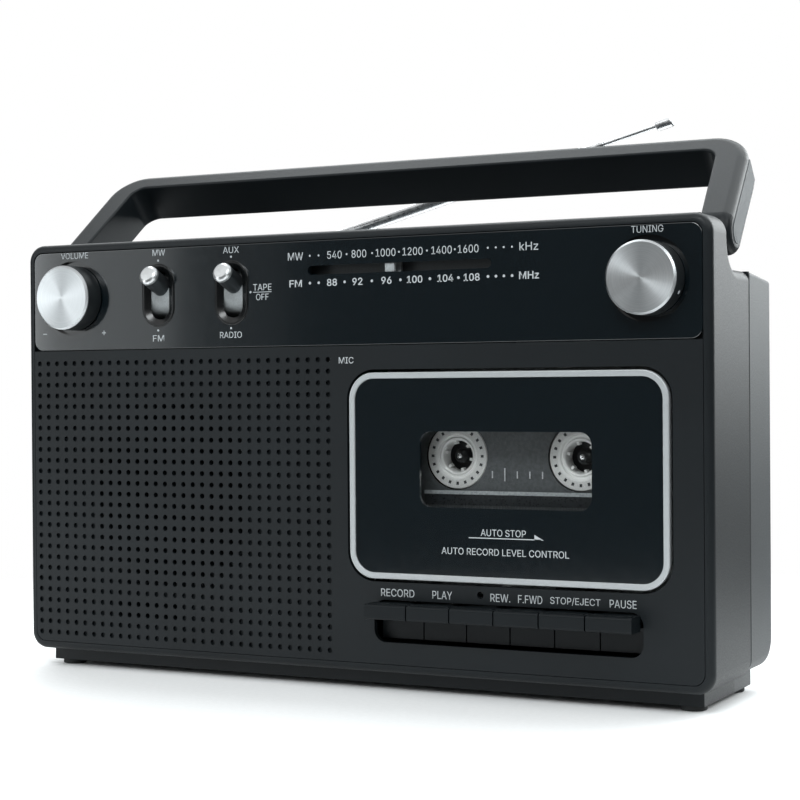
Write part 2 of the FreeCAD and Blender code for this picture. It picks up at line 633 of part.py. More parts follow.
def dial_panel():
    """The gloss dial panel, with its knob bowls, its switch slots and its pointer slot."""
    piece = Piece("dial_panel")
    inset = S["panel_inset"] + S["panel_gap"]
    top = TOP - inset
    back = S["panel_thick"] + S["dial_backing"]
    piece.add("Y", 0, S["panel_thick"],
              Box(-HALF + inset, HALF - inset, DIAL_BOTTOM, top, S["panel_corner"]))
    backing = S["panel_inset"] + S["panel_lip"] + S["panel_gap"]
    piece.add("Y", S["panel_thick"], back,
              Box(-HALF + backing, HALF - backing, DIAL_BOTTOM + 1,
                  TOP - backing))
    bowls = [Disc(x, KNOB_HEIGHT, BOWL_RADIUS) for x in knob_places()]
    piece.cut("Y", -1, S["knob_bowl_depth"], *bowls)
    hole = S["shaft_radius"] + S["shaft_hole_gap"]
    piece.cut("Y", -1, back + 1, *[Disc(x, KNOB_HEIGHT, hole) for x in knob_places()])
    half = SLOT_WIDTH / 2
    tall = S["slot_tall"] / 2
    slots = [Box(x - half, x + half, KNOB_HEIGHT - tall, KNOB_HEIGHT + tall,
                 half - 0.01) for x in (BAND_SWITCH_X, FUNCTION_SWITCH_X)]
    piece.cut("Y", -1, back + 1, *slots)
    long = S["dial_slot_long"] / 2
    rise = S["dial_slot_tall"] / 2
    piece.cut("Y", -1, back + 1,
              Box(DIAL_SLOT_X - long, DIAL_SLOT_X + long, DIAL_SLOT_Z - rise,
                  DIAL_SLOT_Z + rise, rise - 0.01))
    piece.round(0.4, lambda edge: lies_in(edge, y=0) and edge.BoundBox.XLength > 12
                and near(edge.BoundBox.ZMax, top.value, 3))
    return piece


def dial_pointer():
    """The pointer that slides in the dial slot, with its foot on the dial cord."""
    piece = Piece("dial_pointer")
    x = POINTER_X
    wide = S["pointer_wide"] / 2
    rise = S["dial_slot_tall"] / 2 - S["pointer_gap"]
    z = DIAL_SLOT_Z
    back = S["panel_thick"] + S["dial_backing"] + 0.4
    piece.add("Y", 0.5, 1.9, Box(x - wide, x + wide, z - rise, z + rise))
    piece.add("Y", 1.9, back + 0.1, Box(x - 1, x + 1, z - rise + 0.3, z + rise - 0.3))
    piece.add("Y", back, back + 1.4, Box(x - 3, x + 3, z - 2.6, z + 2.6))
    return piece


def feet():
    """Four rubber feet under the plinth."""
    piece = Piece("feet")
    discs = []
    for side in (-1, 1):
        for y in (S["foot_front"], DEPTH - S["foot_rear"]):
            discs.append(Disc(side * (HALF - S["foot_inset"]), y, S["foot_radius"]))
    piece.add("Z", -S["foot_height"], -S["plinth_drop"], *discs)
    piece.round(0.6, lambda edge: lies_in(edge, z=-S["foot_height"]))
    return piece


def case_screws():
    """The four screws that hold the shells together."""
    piece = Piece("case_screws")
    places = [(side * (HALF - S["boss_inset"]), z) for side in (-1, 1)
              for z in BOSS_HEIGHTS]
    head = DEPTH - S["screw_head_height"]
    head_discs = [Disc(x, z, S["screw_head_radius"]) for x, z in places]
    shank_discs = [Disc(x, z, S["screw_radius"]) for x, z in places]
    piece.add("Y", head, DEPTH - 0.1, *head_discs)
    piece.add("Y", DEPTH - S["screw_length"] - 12, head + 0.1, *shank_discs)
    slots = []
    for x, z in places:
        slots.append(Box(x - 1.9, x + 1.9, z - 0.4, z + 0.4))
    piece.cut("Y", DEPTH - 0.9, DEPTH + 0.5, *slots)
    crosses = [Box(x - 0.4, x + 0.4, z - 1.9, z + 1.9) for x, z in places]
    piece.cut("Y", DEPTH - 0.9, DEPTH + 0.5, *crosses)
    return piece


# ---------------------------------------------------------------- controls

def knob(name, x):
    """A knob that turns in its bowl, on its shaft."""
    piece = Piece(name)
    z = KNOB_HEIGHT
    back = S["knob_bowl_depth"] - S["knob_clearance"]
    piece.add("Y", -S["knob_reach"], back, Disc(x, z, S["knob_radius"]))
    return piece


def knob_cap(name, x):
    """The spun metal cap on a knob's face, with a bevelled rim."""
    piece = Piece(name)
    reach = S["knob_reach"]
    r = S["knob_radius"] - S["cap_inset"]
    bevel = S["cap_bevel"]
    front = -reach - S["cap_thick"]
    piece.spin("Y", (x, KNOB_HEIGHT), (0, front), (r - bevel, front), (r, front + bevel),
               (r, -reach), (0, -reach))
    return piece


def volume_control():
    """The volume potentiometer behind the dial panel."""
    piece = Piece("volume_control")
    x = knob_places()[0]
    z = KNOB_HEIGHT
    back = S["panel_thick"] + S["dial_backing"]
    piece.add("Y", back, back + 9, Disc(x, z, 8.5))
    piece.add("Y", back + 3, back + 8, Box(x - 6, x + 6, z - 13.5, z - 6))
    piece.cut("Y", back - 1, back + 7.5, Disc(x, z, S["shaft_radius"] + S["running_fit"]))
    return piece


def tuning_shaft():
    """The tuning shaft with the small drum that winds the dial cord."""
    piece = Piece("tuning_shaft")
    x = knob_places()[1]
    z = KNOB_HEIGHT
    start = S["knob_bowl_depth"] - S["knob_clearance"]
    r = S["cord_drum_radius"]
    piece.spin("Y", (x, z), (0, start), (S["shaft_radius"], start), (S["shaft_radius"], 6),
               (r, 6), (r, 6.8), (r - 1, 7.2), (r - 1, 9.4), (r, 9.8), (r, 10.6),
               (S["shaft_radius"], 10.6), (S["shaft_radius"], 14), (0, 14))
    return piece


def tuning_drum():
    """The large drum on the tuning capacitor, turned by the dial cord."""
    piece = Piece("tuning_drum")
    r = S["tuning_drum_radius"]
    piece.spin("Y", (TUNING_DRUM_X, TUNING_DRUM_Z), (0, 7), (r, 7), (r, 7.6),
               (r - 0.9, 8), (r - 0.9, 9), (r, 9.4), (r, 10), (2.5, 10), (2.5, 11.5), (0, 11.5))
    return piece


def tuning_capacitor():
    """The variable capacitor behind its drum."""
    piece = Piece("tuning_capacitor")
    x = TUNING_DRUM_X
    z = TUNING_DRUM_Z
    piece.add("Y", 10.6, 16, Box(x - 10, x + 10, z - 10, z + 6))
    piece.cut("Y", 10, 12, Disc(x, z, 2.5 + S["running_fit"]))
    return piece


def switch_lever(name, x):
    """A round metal lever leaning up from the switch's pivot."""
    piece = Piece(name, (x, S["lever_pivot_depth"], KNOB_HEIGHT), (-1, 0, 0),
                  S["lever_tilt"])
    r = S["lever_radius"]
    tip = -S["lever_length"]
    start = -S["drum_radius"] + 1.2
    piece.spin("Y", (0, 0), (0, tip - 0.9), (r - 1.1, tip - 0.75), (r - 0.35, tip - 0.25),
               (r, tip + 0.5), (r, start), (0, start))
    return piece


def switch_drum(name, x):
    """The curved drum behind a slot that the lever stands on."""
    piece = Piece(name, (x, S["lever_pivot_depth"], KNOB_HEIGHT), (-1, 0, 0),
                  S["lever_tilt"])
    half = S["drum_width"] / 2
    r = S["drum_radius"]
    piece.add("X", -half, half, Disc(0, 0, r))
    piece.cut("X", -half - 1, half + 1, Box(2.5, r + 1, -r - 1, r + 1))
    piece.cut("Y", -r - 1, -r + 1.2, Disc(0, 0, S["lever_radius"]))
    return piece


# ---------------------------------------------------------------- cassette compartment

def cassette_lid():
    """The lid's door plate, with its window opening and the guides that hold the tape."""
    piece = Piece("cassette_lid")
    half = S["lid_width"] / 2 - S["ring_width"]
    x = WELL_X
    low = S["lid_low"] + S["ring_width"]
    high = S["lid_high"] - S["ring_width"]
    back = S["lid_thick"]
    corner = S["lid_corner"] - S["ring_width"]
    piece.add("Y", 0, back, Box(x - half, x + half, low, high, corner))
    wide = S["window_wide"] / 2
    centre = WINDOW_X
    piece.cut("Y", -1, back + 1, Box(centre - wide, centre + wide, S["window_low"],
                                     S["window_high"], S["window_corner"]))
    lip = S["window_lip"]
    piece.cut("Y", S["window_thick"], back + 1,
              Box(centre - wide - lip, centre + wide + lip, S["window_low"] - lip,
                  S["window_high"] + lip, S["window_corner"]))
    guide = S["tape_wide"] / 2 + 0.5
    foot = S["tape_low"] + 2
    pivot_y, pivot_z = S["lid_hinge_depth"], LID_HINGE_Z
    for side in (-1, 1):
        left, right = plate_span(x, side, guide, guide + 1.6)
        piece.add("X", left, right,
                  Outline((back - 0.2, foot - 3), (back - 0.2, foot + 34), (10, foot + 26),
                          (20, foot + 16), (20, foot), (pivot_y + 3, foot - 3)))
        left, right = plate_span(x, side, guide + 1.5, CHASSIS_HALF)
        piece.add("X", left, right, Disc(pivot_y, pivot_z, S["lid_pin_radius"]))
    return piece


def lid_trim_ring():
    """The satin ring round the lid."""
    piece = Piece("lid_trim_ring")
    half = S["lid_width"] / 2
    x = WELL_X
    ring = S["ring_width"]
    piece.add("Y", -S["ring_proud"], S["lid_thick"],
              Box(x - half, x + half, S["lid_low"], S["lid_high"], S["lid_corner"]),
              Box(x - half + ring, x + half - ring, S["lid_low"] + ring, S["lid_high"] - ring,
                  S["lid_corner"] - ring))
    piece.round(0.4, lambda edge: lies_in(edge, y=-S["ring_proud"]))
    return piece


def lid_window():
    """The clear window, seated on the lip behind the lid's opening."""
    piece = Piece("lid_window")
    wide = S["window_wide"] / 2 + S["window_lip"] - 0.1
    lip = S["window_lip"] - 0.1
    x = WINDOW_X
    piece.add("Y", S["window_thick"], S["lid_thick"] - 0.1,
              Box(x - wide, x + wide, S["window_low"] - lip, S["window_high"] + lip,
                  S["window_corner"] - 0.1))
    return piece


def hub_places():
    """The two reel centres, left and right."""
    height = S["tape_low"] + S["hub_height"]
    return [(WELL_X - S["hub_spread"] / 2, height),
            (WELL_X + S["hub_spread"] / 2, height)]


def cassette_shell():
    """The compact cassette's hollow shell, with its hub holes and its head openings."""
    piece = Piece("cassette_shell")
    half = S["tape_wide"] / 2
    x = WELL_X
    low = S["tape_low"]
    high = low + S["tape_tall"]
    front = S["tape_front"]
    back = front + S["tape_thick"]
    skin = S["tape_skin"]
    nose = S["nose_wide"] / 2
    proud = S["nose_proud"]
    piece.add("Y", front, back, Box(x - half, x + half, low, high, S["tape_corner"]))
    piece.add("Y", front - proud, back + proud,
              Outline((x - nose, low + 0.01), (x + nose, low + 0.01),
                      (x + nose - 3, low + S["nose_tall"]), (x - nose + 3, low + S["nose_tall"])))
    piece.cut("Y", front + skin, back - skin,
              Box(x - half + 2, x + half - 2, low + S["nose_tall"] - 4, high - 2))
    piece.cut("Y", front - 1, back + 1, *[Disc(a, b, S["hub_hole"]) for a, b in hub_places()])
    piece.cut("Y", front - proud - 1, back + proud + 1,
              Box(x - 8.5, x + 8.5, low - 1, low + 7.5),
              Box(x + S["capstan_x"] - 8, x + S["capstan_x"] + 8, low - 1, low + 7.5),
              Box(x - S["capstan_x"] - 8, x - S["capstan_x"] + 8, low - 1, low + 7.5))
    return piece


def cassette_hub(name, side):
    """A tape hub with six drive teeth in its bore."""
    piece = Piece(name)
    x, z = hub_places()[side]
    middle = S["tape_front"] + S["tape_thick"] / 2
    start = middle - S["hub_long"] / 2
    end = middle + S["hub_long"] / 2
    piece.add("Y", start, end, Disc(x, z, S["hub_radius"] / 2 + 2), Disc(x, z, S["hub_bore"]))
    piece.add("Y", start, end, Disc(x, z, S["hub_radius"]), Disc(x, z, S["hub_radius"] / 2 + 2))
    for tooth in range(6):
        angle = math.radians(60 * tooth)
        reach = S["hub_bore"] - 0.35
        piece.add("Y", middle - 2, middle + 2,
                  Disc(x + reach * math.cos(angle), z + reach * math.sin(angle), 0.55))
    return piece


def tape_pack():
    """The tape wound on the supply hub."""
    piece = Piece("tape_pack")
    x, z = hub_places()[0]
    middle = S["tape_front"] + S["tape_thick"] / 2
    film = S["tape_film"] / 2
    piece.add("Y", middle - film, middle + film, Disc(x, z, S["pack_radius"]),
              Disc(x, z, S["hub_radius"]))
    return piece


# ---------------------------------------------------------------- tape drive and keys

def key_centre(index):
    """The x of a key's centre."""
    return WELL_X + S["key_pitch"] * (index - (len(KEY_NAMES) - 1) / 2)


def transport_key(name, index):
    """A piano key: its finger ledge, its skirt and its arm on the key shaft."""
    piece = Piece(name)
    x = key_centre(index)
    half = (S["key_pitch"] - S["key_gap"]) / 2
    top = S["key_top"]
    base = top - S["ledge_tall"]
    depth = S["skirt_depth"]
    reach = S["key_reach"]
    neck = half - S["key_neck_inset"]
    piece.add("Y", -reach, -S["key_neck_gap"], Box(x - half, x + half, base, top))
    piece.round(0.9, lambda edge: runs_along(edge, "x") and lies_in(edge, y=-reach))
    ribs = [Box(-reach + 1.5 + step, -reach + 2.0 + step, top - 0.2, top + 0.3)
            for step in (0, 1.1, 2.2)]
    piece.add("X", x - half + 0.8, x + half - 0.8, *ribs)
    piece.add("Y", -S["key_neck_gap"] - 0.1, depth + 3, Box(x - neck, x + neck, base, top))
    piece.add("Y", depth, depth + 3, Box(x - half, x + half, S["skirt_low"], base + 0.5))
    arm = S["key_arm_wide"] / 2
    rise = S["key_arm_tall"] / 2
    axle_y = S["key_axle_depth"]
    axle_z = S["key_axle_z"]
    piece.add("Y", depth + 3, axle_y, Box(x - arm, x + arm, axle_z - rise, axle_z + rise))
    piece.add("X", x - arm, x + arm, Disc(axle_y, axle_z, S["key_axle_radius"] + 1.4))
    piece.cut("X", x - arm - 1, x + arm + 1,
              Disc(axle_y, axle_z, S["key_axle_radius"] + S["running_fit"]))
    return piece


def key_shaft():
    """The steel shaft that all six keys turn on."""
    piece = Piece("key_shaft")
    half = S["tape_wide"] / 2 + S["key_shaft_margin"]
    x = WELL_X
    piece.add("X", x - half, x + half,
              Disc(S["key_axle_depth"], S["key_axle_z"], S["key_axle_radius"]))
    return piece


def plate_span(middle, side, inner, outer):
    """The x range of a plate on one side of a middle line."""
    if side > 0:
        return middle + inner, middle + outer
    return middle - outer, middle - inner


def deck_chassis():
    """The steel plate of the tape drive, with cheeks for the key shaft and ears for the lid."""
    piece = Piece("deck_chassis")
    x = WELL_X
    half = CHASSIS_HALF
    start = S["chassis_depth"]
    thick = S["chassis_thick"]
    piece.add("Y", start, start + thick,
              Box(x - half, x + half, S["chassis_low"], S["chassis_high"]))
    cheek = S["tape_wide"] / 2 + S["key_shaft_margin"] - 1
    ear = S["lid_pin_radius"] + S["lid_ear_wall"]
    pivot_y, pivot_z = S["lid_hinge_depth"], LID_HINGE_Z
    for side in (-1, 1):
        left, right = plate_span(x, side, cheek - thick, cheek)
        piece.add("X", left, right,
                  Box(start, start + 14, S["key_axle_z"] - 5, S["chassis_low"] + 6))
        piece.cut("X", left - 1, right + 1,
                  Disc(S["key_axle_depth"], S["key_axle_z"], S["key_axle_radius"]))
        left, right = plate_span(x, side, half - thick, half)
        piece.add("X", left, right, Box(pivot_y, start + 1, pivot_z - ear, pivot_z + ear))
        piece.add("X", left, right, Disc(pivot_y, pivot_z, ear))
        piece.cut("X", left - 1, right + 1,
                  Disc(pivot_y, pivot_z, S["lid_pin_radius"] + S["running_fit"]))
    for a, b in hub_places():
        piece.cut("Y", start - 1, start + thick + 1,
                  Disc(a, b, S["spindle_radius"] + S["running_fit"]))
    piece.cut("Y", start - 1, start + thick + 1,
              Disc(x + S["capstan_x"], capstan_z(), S["capstan_radius"] + S["running_fit"]))
    return piece


def capstan_z():
    """The capstan's height: the lifted pinch roller just meets it."""
    return S["tape_low"] + S["head_lift"] - 1


def spindle(name, side):
    """A reel spindle, with its reel disc and a tapered tip that enters the hub."""
    piece = Piece(name)
    front = S["spindle_front"]
    r = S["spindle_radius"]
    plate = S["chassis_depth"]
    back = plate + S["chassis_thick"] + 0.2
    piece.spin("Y", hub_places()[side], (0, front), (1.4, front), (r - 0.4, front + 1.8),
               (r - 0.4, plate - 2), (S["reel_radius"], plate - 2),
               (S["reel_radius"], plate - 0.3), (r, plate - 0.3), (r, back), (0, back))
    return piece


def head_bar():
    """The sliding bar that lifts the heads to the tape."""
    piece = Piece("head_bar")
    x = WELL_X
    back = S["chassis_depth"] - 0.6
    piece.add("Y", back - 1.2, back, Box(x - 34, x + 34, 28.5, 38))
    return piece


def tape_heads():
    """The record and play head, and the erase head beside it."""
    piece = Piece("tape_heads")
    x = WELL_X
    back = S["chassis_depth"] - 1.8
    low = S["tape_low"]
    piece.add("Y", 11.6, back, Box(x - 6, x + 6, low - 10, low - 1))
    piece.add("Y", 12.6, back, Box(x - S["capstan_x"] - 4, x - S["capstan_x"] + 4, low - 10,
                                   low - 1.5))
    return piece


def pinch_roller():
    """The rubber pinch roller on the head bar."""
    piece = Piece("pinch_roller")
    x = WELL_X + S["capstan_x"]
    z = capstan_z() - S["head_lift"] - S["roller_radius"] - S["capstan_radius"]
    piece.add("Y", 12.4, 19, Disc(x, z - S["roller_gap"], S["roller_radius"]),
              Disc(x, z - S["roller_gap"], 1.1))
    return piece


def flywheel():
    """The flywheel, with the capstan as its shaft."""
    piece = Piece("flywheel")
    start = S["flywheel_front"]
    end = start + S["flywheel_thick"]
    r = S["flywheel_radius"]
    c = S["capstan_radius"]
    middle = start + S["flywheel_thick"] / 2
    piece.spin("Y", (WELL_X + S["capstan_x"], capstan_z()), (0, 10.8), (c - 0.3, 10.8),
               (c, 11.3), (c, start), (r, start), (r, middle - 1.2), (r - S["belt_thick"], middle),
               (r, middle + 1.2), (r, end), (0, end))
    return piece


def motor():
    """The drive motor, with its pulley in line with the flywheel."""
    piece = Piece("motor")
    x = WELL_X + S["motor_x"]
    z = S["motor_z"]
    back = S["flywheel_front"] + S["flywheel_thick"] + 2
    piece.add("Y", back, back + S["motor_long"], Disc(x, z, S["motor_radius"]))
    piece.round(1.0, lambda edge: lies_in(edge, y=back + S["motor_long"]))
    piece.cut("Y", back - 1, back + 5, Disc(x, z, 1 + S["running_fit"]))
    return piece


def motor_pulley():
    """The motor's shaft and belt pulley."""
    piece = Piece("motor_pulley")
    middle = S["flywheel_front"] + S["flywheel_thick"] / 2
    r = S["pulley_radius"]
    back = S["flywheel_front"] + S["flywheel_thick"] + 1
    piece.spin("Y", (WELL_X + S["motor_x"], S["motor_z"]), (0, middle - 2.4),
               (r + 0.8, middle - 2.4), (r, middle - 0.8), (r, middle + 0.8),
               (r + 0.8, middle + 2), (r + 0.8, back), (1, back), (1, back + 5.5), (0, back + 5.5))
    return piece


def drive_belt():
    """The rubber belt from the motor's pulley to the flywheel, as its loop in the groove."""
    middle = S["flywheel_front"] + S["flywheel_thick"] / 2
    wide = S["belt_thick"].value
    first = FreeCAD.Vector((WELL_X + S["capstan_x"]).value, 0, capstan_z().value)
    second = FreeCAD.Vector((WELL_X + S["motor_x"]).value, 0, S["motor_z"].value)
    large = (S["flywheel_radius"] - S["belt_thick"]).value + 0.85
    small = S["pulley_radius"].value + 0.85
    loops = [belt_loop(first, second, large + extra, small + extra) for extra in (0, wide)]
    ring = Part.Face([loops[1], loops[0]], "Part::FaceMakerBullseye")
    ring.translate(FreeCAD.Vector(0, middle.value - wide / 2, 0))
    place_feature("drive_belt", ring.extrude(FreeCAD.Vector(0, wide, 0)))


def belt_loop(first, second, large, small):
    """A closed line round two circles, with the straight runs tangent to both."""
    gap = second - first
    lean = math.acos((large - small) / gap.Length)
    base = math.atan2(gap.z, gap.x)
    points = []
    for centre, radius in ((first, large), (second, small)):
        for turn in (base + lean, base - lean):
            points.append(centre + FreeCAD.Vector(math.cos(turn), 0, math.sin(turn)) * radius)
    far = first - gap.normalize() * large
    near_end = second + gap * small
    edges = [Part.LineSegment(points[0], points[2]).toShape(),
             Part.Arc(points[2], near_end, points[3]).toShape(),
             Part.LineSegment(points[3], points[1]).toShape(),
             Part.Arc(points[1], far, points[0]).toShape()]
    return Part.Wire(edges)


# ---------------------------------------------------------------- speaker, board, power

def speaker_place():
    """The middle of the grille's open holes."""
    first, last = OPEN_HOLES[12]
    x = S["grille_left"] - HALF + S["hole_pitch"] * ((first + last) / 2)
    return x, GRILLE_TOP - S["hole_pitch"] * 12


def speaker_frame():
    """The speaker's steel basket and magnet."""
    piece = Piece("speaker_frame")
    front = S["panel_thick"] + 0.3
    r = S["speaker_radius"]
    magnet = S["magnet_radius"]
    deep = front + S["speaker_deep"]
    rim = S["speaker_radius"] - S["surround_wide"] + 0.6
    piece.spin("Y", speaker_place(), (rim, front), (r, front),
               (r, front + 1.2), (rim + 1, front + 3.4), (magnet, front + 16),
               (magnet, deep), (0, deep), (0, deep - 4), (13, deep - 4), (13, front + 16),
               (magnet - 2, front + 15.5), (rim, front + 3))
    return piece


def speaker_cone():
    """The paper cone with its roll surround and dust cap."""
    piece = Piece("speaker_cone")
    front = S["panel_thick"] + 0.6
    r = S["speaker_radius"] - S["surround_wide"]
    piece.spin("Y", speaker_place(), (0, front + 8), (6, front + 9),
               (10, front + 12), (r - 4, front + 1.2), (r - 2, front), (r, front + 1.2),
               (r, front + 2), (r - 4, front + 2.2), (10.5, front + 13.4), (0, front + 13.4))
    return piece


def microphone():
    """The electret microphone behind its own hole."""
    piece = Piece("microphone")
    x = S["grille_left"] - HALF + S["hole_pitch"] * (GRILLE_COLUMNS - 1)
    z = GRILLE_TOP
    piece.add("Y", S["panel_thick"] + 0.2, S["panel_thick"] + 6, Disc(x, z, 3))
    return piece


def circuit_board():
    """The main board with its larger components."""
    piece = Piece("circuit_board")
    start = S["board_depth"]
    end = start + S["board_thick"]
    low = S["door_high"] + 3
    left = 14 - HALF
    piece.add("Y", start, end, Box(left, WELL_X - CHASSIS_HALF - 4, low, DECK_HEIGHT - 7))
    blocks = [(26, 42, 10, 26, 9), (56, 74, 20, 32, 6), (86, 102, 46, 58, 12),
              (106, 115, 12, 28, 8), (14, 30, 48, 60, 7)]
    for near_end, far_end, bottom, top, tall in blocks:
        piece.add("Y", end - 0.1, end + tall,
                  Box(left + near_end, left + far_end, low + bottom, low + top))
    cans = [Disc(left + x, low + z, 4) for x, z in ((66, 46), (76, 46), (40, 40), (96, 34))]
    piece.add("Y", end - 0.1, end + 13, *cans)
    return piece


def jack_sockets():
    """The auxiliary and headphone sockets behind the rear wall."""
    piece = Piece("jack_sockets")
    back = DEPTH - S["shell_wall"]
    for index in (0, 1):
        x = JACK_X + index * S["jack_spread"]
        z = S["jack_z"]
        piece.add("Y", back - 13, back, Box(x - 5, x + 5, z - 5, z + 5))
        piece.cut("Y", back - 11, back + 1, Disc(x, z, S["jack_radius"]))
    return piece


def batteries():
    """Four C cells, two by two."""
    piece = Piece("batteries")
    r = S["cell_radius"]
    wall = S["shell_wall"]
    y = DEPTH - wall - r - 0.3
    low = S["belly_height"] + wall + r + 0.8
    for z in (low, low + 2 * r + 0.8):
        for side in (-1, 1):
            start = BAY_X + (0.3 if side > 0 else -0.3 - S["cell_long"])
            piece.add("X", start, start + S["cell_long"] - 2, Disc(y, z, r))
            piece.add("X", start + S["cell_long"] - 2.1, start + S["cell_long"] - 0.4,
                      Disc(y, z, 3.2))
    return piece


def battery_door():
    """The battery door in the rear wall, round along its hinge edge, with finger ribs."""
    piece = Piece("battery_door")
    half = S["bay_wide"] / 2
    x = BAY_X
    start = DEPTH - S["shell_wall"] + 0.1
    barrel = (DEPTH - start) / 2
    hinge_z = S["door_low"] + barrel
    piece.add("Y", start, DEPTH, Box(x - half, x + half, hinge_z, S["door_high"]))
    piece.round(2, lambda edge: runs_along(edge, "y") and near(edge.BoundBox.ZMax, S["door_high"]))
    piece.add("X", x - half + 1, x + half - 1, Disc(start + barrel, hinge_z, barrel))
    ribs = [Box(x - 12, x + 12, S["door_high"] - 5 - step * 2.4, S["door_high"] - 4 - step * 2.4)
            for step in range(4)]
    piece.cut("Y", DEPTH - 0.6, DEPTH + 1, *ribs)
    return piece


def mains_inlet():
    """The two-pin mains socket in the rear wall."""
    piece = Piece("mains_inlet")
    x = INLET_X
    z = S["inlet_z"]
    wide = S["inlet_wide"] / 2 - 0.1
    tall = S["inlet_tall"] / 2 - 0.1
    back = DEPTH - S["shell_wall"]
    piece.add("Y", back - 16, DEPTH - 0.2, Box(x - wide, x + wide, z - tall, z + tall, 4))
    piece.cut("Y", back - 12, DEPTH + 1,
              Box(x - wide + 1.4, x + wide - 1.4, z - tall + 1.4, z + tall - 1.4, 3))
    piece.add("Y", back - 12.1, DEPTH - 4, Disc(x - 4, z, 1.1), Disc(x + 4, z, 1.1))
    return piece


def mains_transformer():
    """The mains transformer beside the keys' arms."""
    piece = Piece("mains_transformer")
    x = WELL_X - 36
    z = S["key_axle_z"] + 6
    back = DEPTH - S["shell_wall"]
    piece.add("Y", back - 23.8, back - 3.8, Box(x - 17, x + 17, z - 14, z + 14))
    piece.add("Y", back - 26.3, back - 1.3, Box(x - 11, x + 11, z - 9, z + 9))
    return piece


# ---------------------------------------------------------------- handle and aerial

def handle_frame():
    """The place of the handle's pivot, and its lean from upright."""
    return (0, S["handle_pivot_y"], PIVOT_Z)


def handle():
    """The strap handle: two arms and a bar, soft along the outside and crisp inside."""
    piece = Piece("handle", handle_frame(), (-1, 0, 0), S["handle_lean"])
    half = S["strap_wide"] / 2
    foot = HALF - S["handle_side_gap"]
    arm = S["arm_thick"]
    rise = S["handle_rise"]
    under = rise - S["bar_thick"]
    taper = S["handle_taper"]
    inner_top = foot - arm - taper
    piece.add("Y", -half, half,
              Outline((-foot, 0), (-foot + arm, 0), (-inner_top, under), (inner_top, under),
                      (foot - arm, 0), (foot, 0), (foot - taper, rise), (-foot + taper, rise)))
    piece.round(S["handle_corner"], lambda edge: runs_along(edge, "y")
                and near(edge.BoundBox.ZMax, rise))
    piece.round(S["handle_inner"], lambda edge: runs_along(edge, "y")
                and near(edge.BoundBox.ZMax, under))

    def outside(edge):
        middle = edge.BoundBox.Center
        lean = taper.value * max(middle.z, 0) / rise.value
        return abs(middle.x) > foot.value - arm.value / 2 - lean or middle.z > under.value + 2

    def on_face(edge):
        return (edge.BoundBox.YLength < 0.01 and abs(edge.BoundBox.YMin) > half.value - 0.1
                and edge.BoundBox.ZMax > 1)

    piece.round(S["handle_edge"], lambda edge: on_face(edge) and outside(edge))
    piece.round(S["handle_lip"], lambda edge: on_face(edge) and not outside(edge)
                and edge.BoundBox.ZLength + edge.BoundBox.XLength > 4)
    edge_radius = S["handle_edge"]
    for side in (-1, 1):
        profile = [(0, side * foot), (0, side * (foot - arm)), (-half, side * (foot - arm))]
        for step in range(ROUND_STEPS + 1):
            turn = step * math.pi / 2 / ROUND_STEPS
            out = (1 - math.cos(turn)) * edge_radius
            along = (1 - math.sin(turn)) * edge_radius
            profile.append((out - half, side * (foot - along)))
        piece.spin("X", (0, 0), *profile, angle=180)
        low, high = plate_span(size(0), side, foot - arm - 1, foot + 1)
        piece.cut("X", low, high, Disc(0, 0, S["pin_radius"] + S["running_fit"]))
    return piece


def handle_pins():
    """The two pins that the handle folds on."""
    piece = Piece("handle_pins", handle_frame())
    foot = HALF - S["handle_side_gap"]
    reach = foot - 2.5
    for side in (-1, 1):
        low, high = lug_span(side)
        span = (low, reach) if side > 0 else (-reach, high)
        piece.add("X", *span, Disc(0, 0, S["pin_radius"]))
    return piece


def antenna_bracket():
    """The bracket on the rear wall that carries the aerial behind the handle's sweep."""
    piece = Piece("antenna_bracket")
    x = AERIAL_X
    half = S["bracket_wide"] / 2
    back = DEPTH + S["bracket_thick"]
    rear = AERIAL_Y + S["swivel_radius"]
    plate_top = BRACKET_TOP - S["bracket_rise"]
    piece.add("Y", DEPTH, back, Box(x - half, x + half, BRACKET_LOW, plate_top, 2))
    piece.add("X", x - 5, x + 5, Outline((back - 0.2, BRACKET_LOW + 4), (back - 0.2, plate_top),
                                         (AERIAL_Y - 4.5, BRACKET_TOP),
                                         (rear, BRACKET_TOP), (rear, plate_top)))
    return piece


def aerial_places():
    return (AERIAL_X, AERIAL_Y, AERIAL_Z)


def antenna_swivel():
    """The swivel: a round base, and the fork that the aerial tilts in."""
    piece = Piece("antenna_swivel", aerial_places())
    knuckle = S["knuckle_radius"]
    base = BRACKET_TOP - AERIAL_Z
    floor = -knuckle - 0.6
    inner = S["knuckle_thick"] / 2 + S["ear_gap"]
    outer = S["swivel_radius"] - 0.1
    piece.add("Z", base, floor, Disc(0, 0, S["swivel_radius"]))
    for side in (-1, 1):
        low, high = (inner, outer) if side > 0 else (-outer, -inner)
        piece.add("Y", low, high, Box(-3, 3, floor - 0.2, 3, 1.5))
    piece.add("Y", -outer, outer, Disc(0, 0, 1.1))
    return piece


def tube_size(index):
    """The outer radius of one of the aerial's tubes, the first the widest."""
    return S["tube_radius"] - index * (S["tube_wall"] + S["tube_fit"])


def tube_reach(index):
    """How far one of the aerial's tubes ends from the tilt pivot."""
    tube_one = S["aerial_end"] - S["aerial_tip_long"] - S["aerial_rod_shows"]
    return tube_one - (TUBE_COUNT - 1 - index) * S["aerial_step"]


def aerial_piece(name):
    """A piece that lies along the aerial, with its own X along the tubes."""
    return Piece(name, aerial_places(), (0, -1, 0), S["aerial_tilt"])


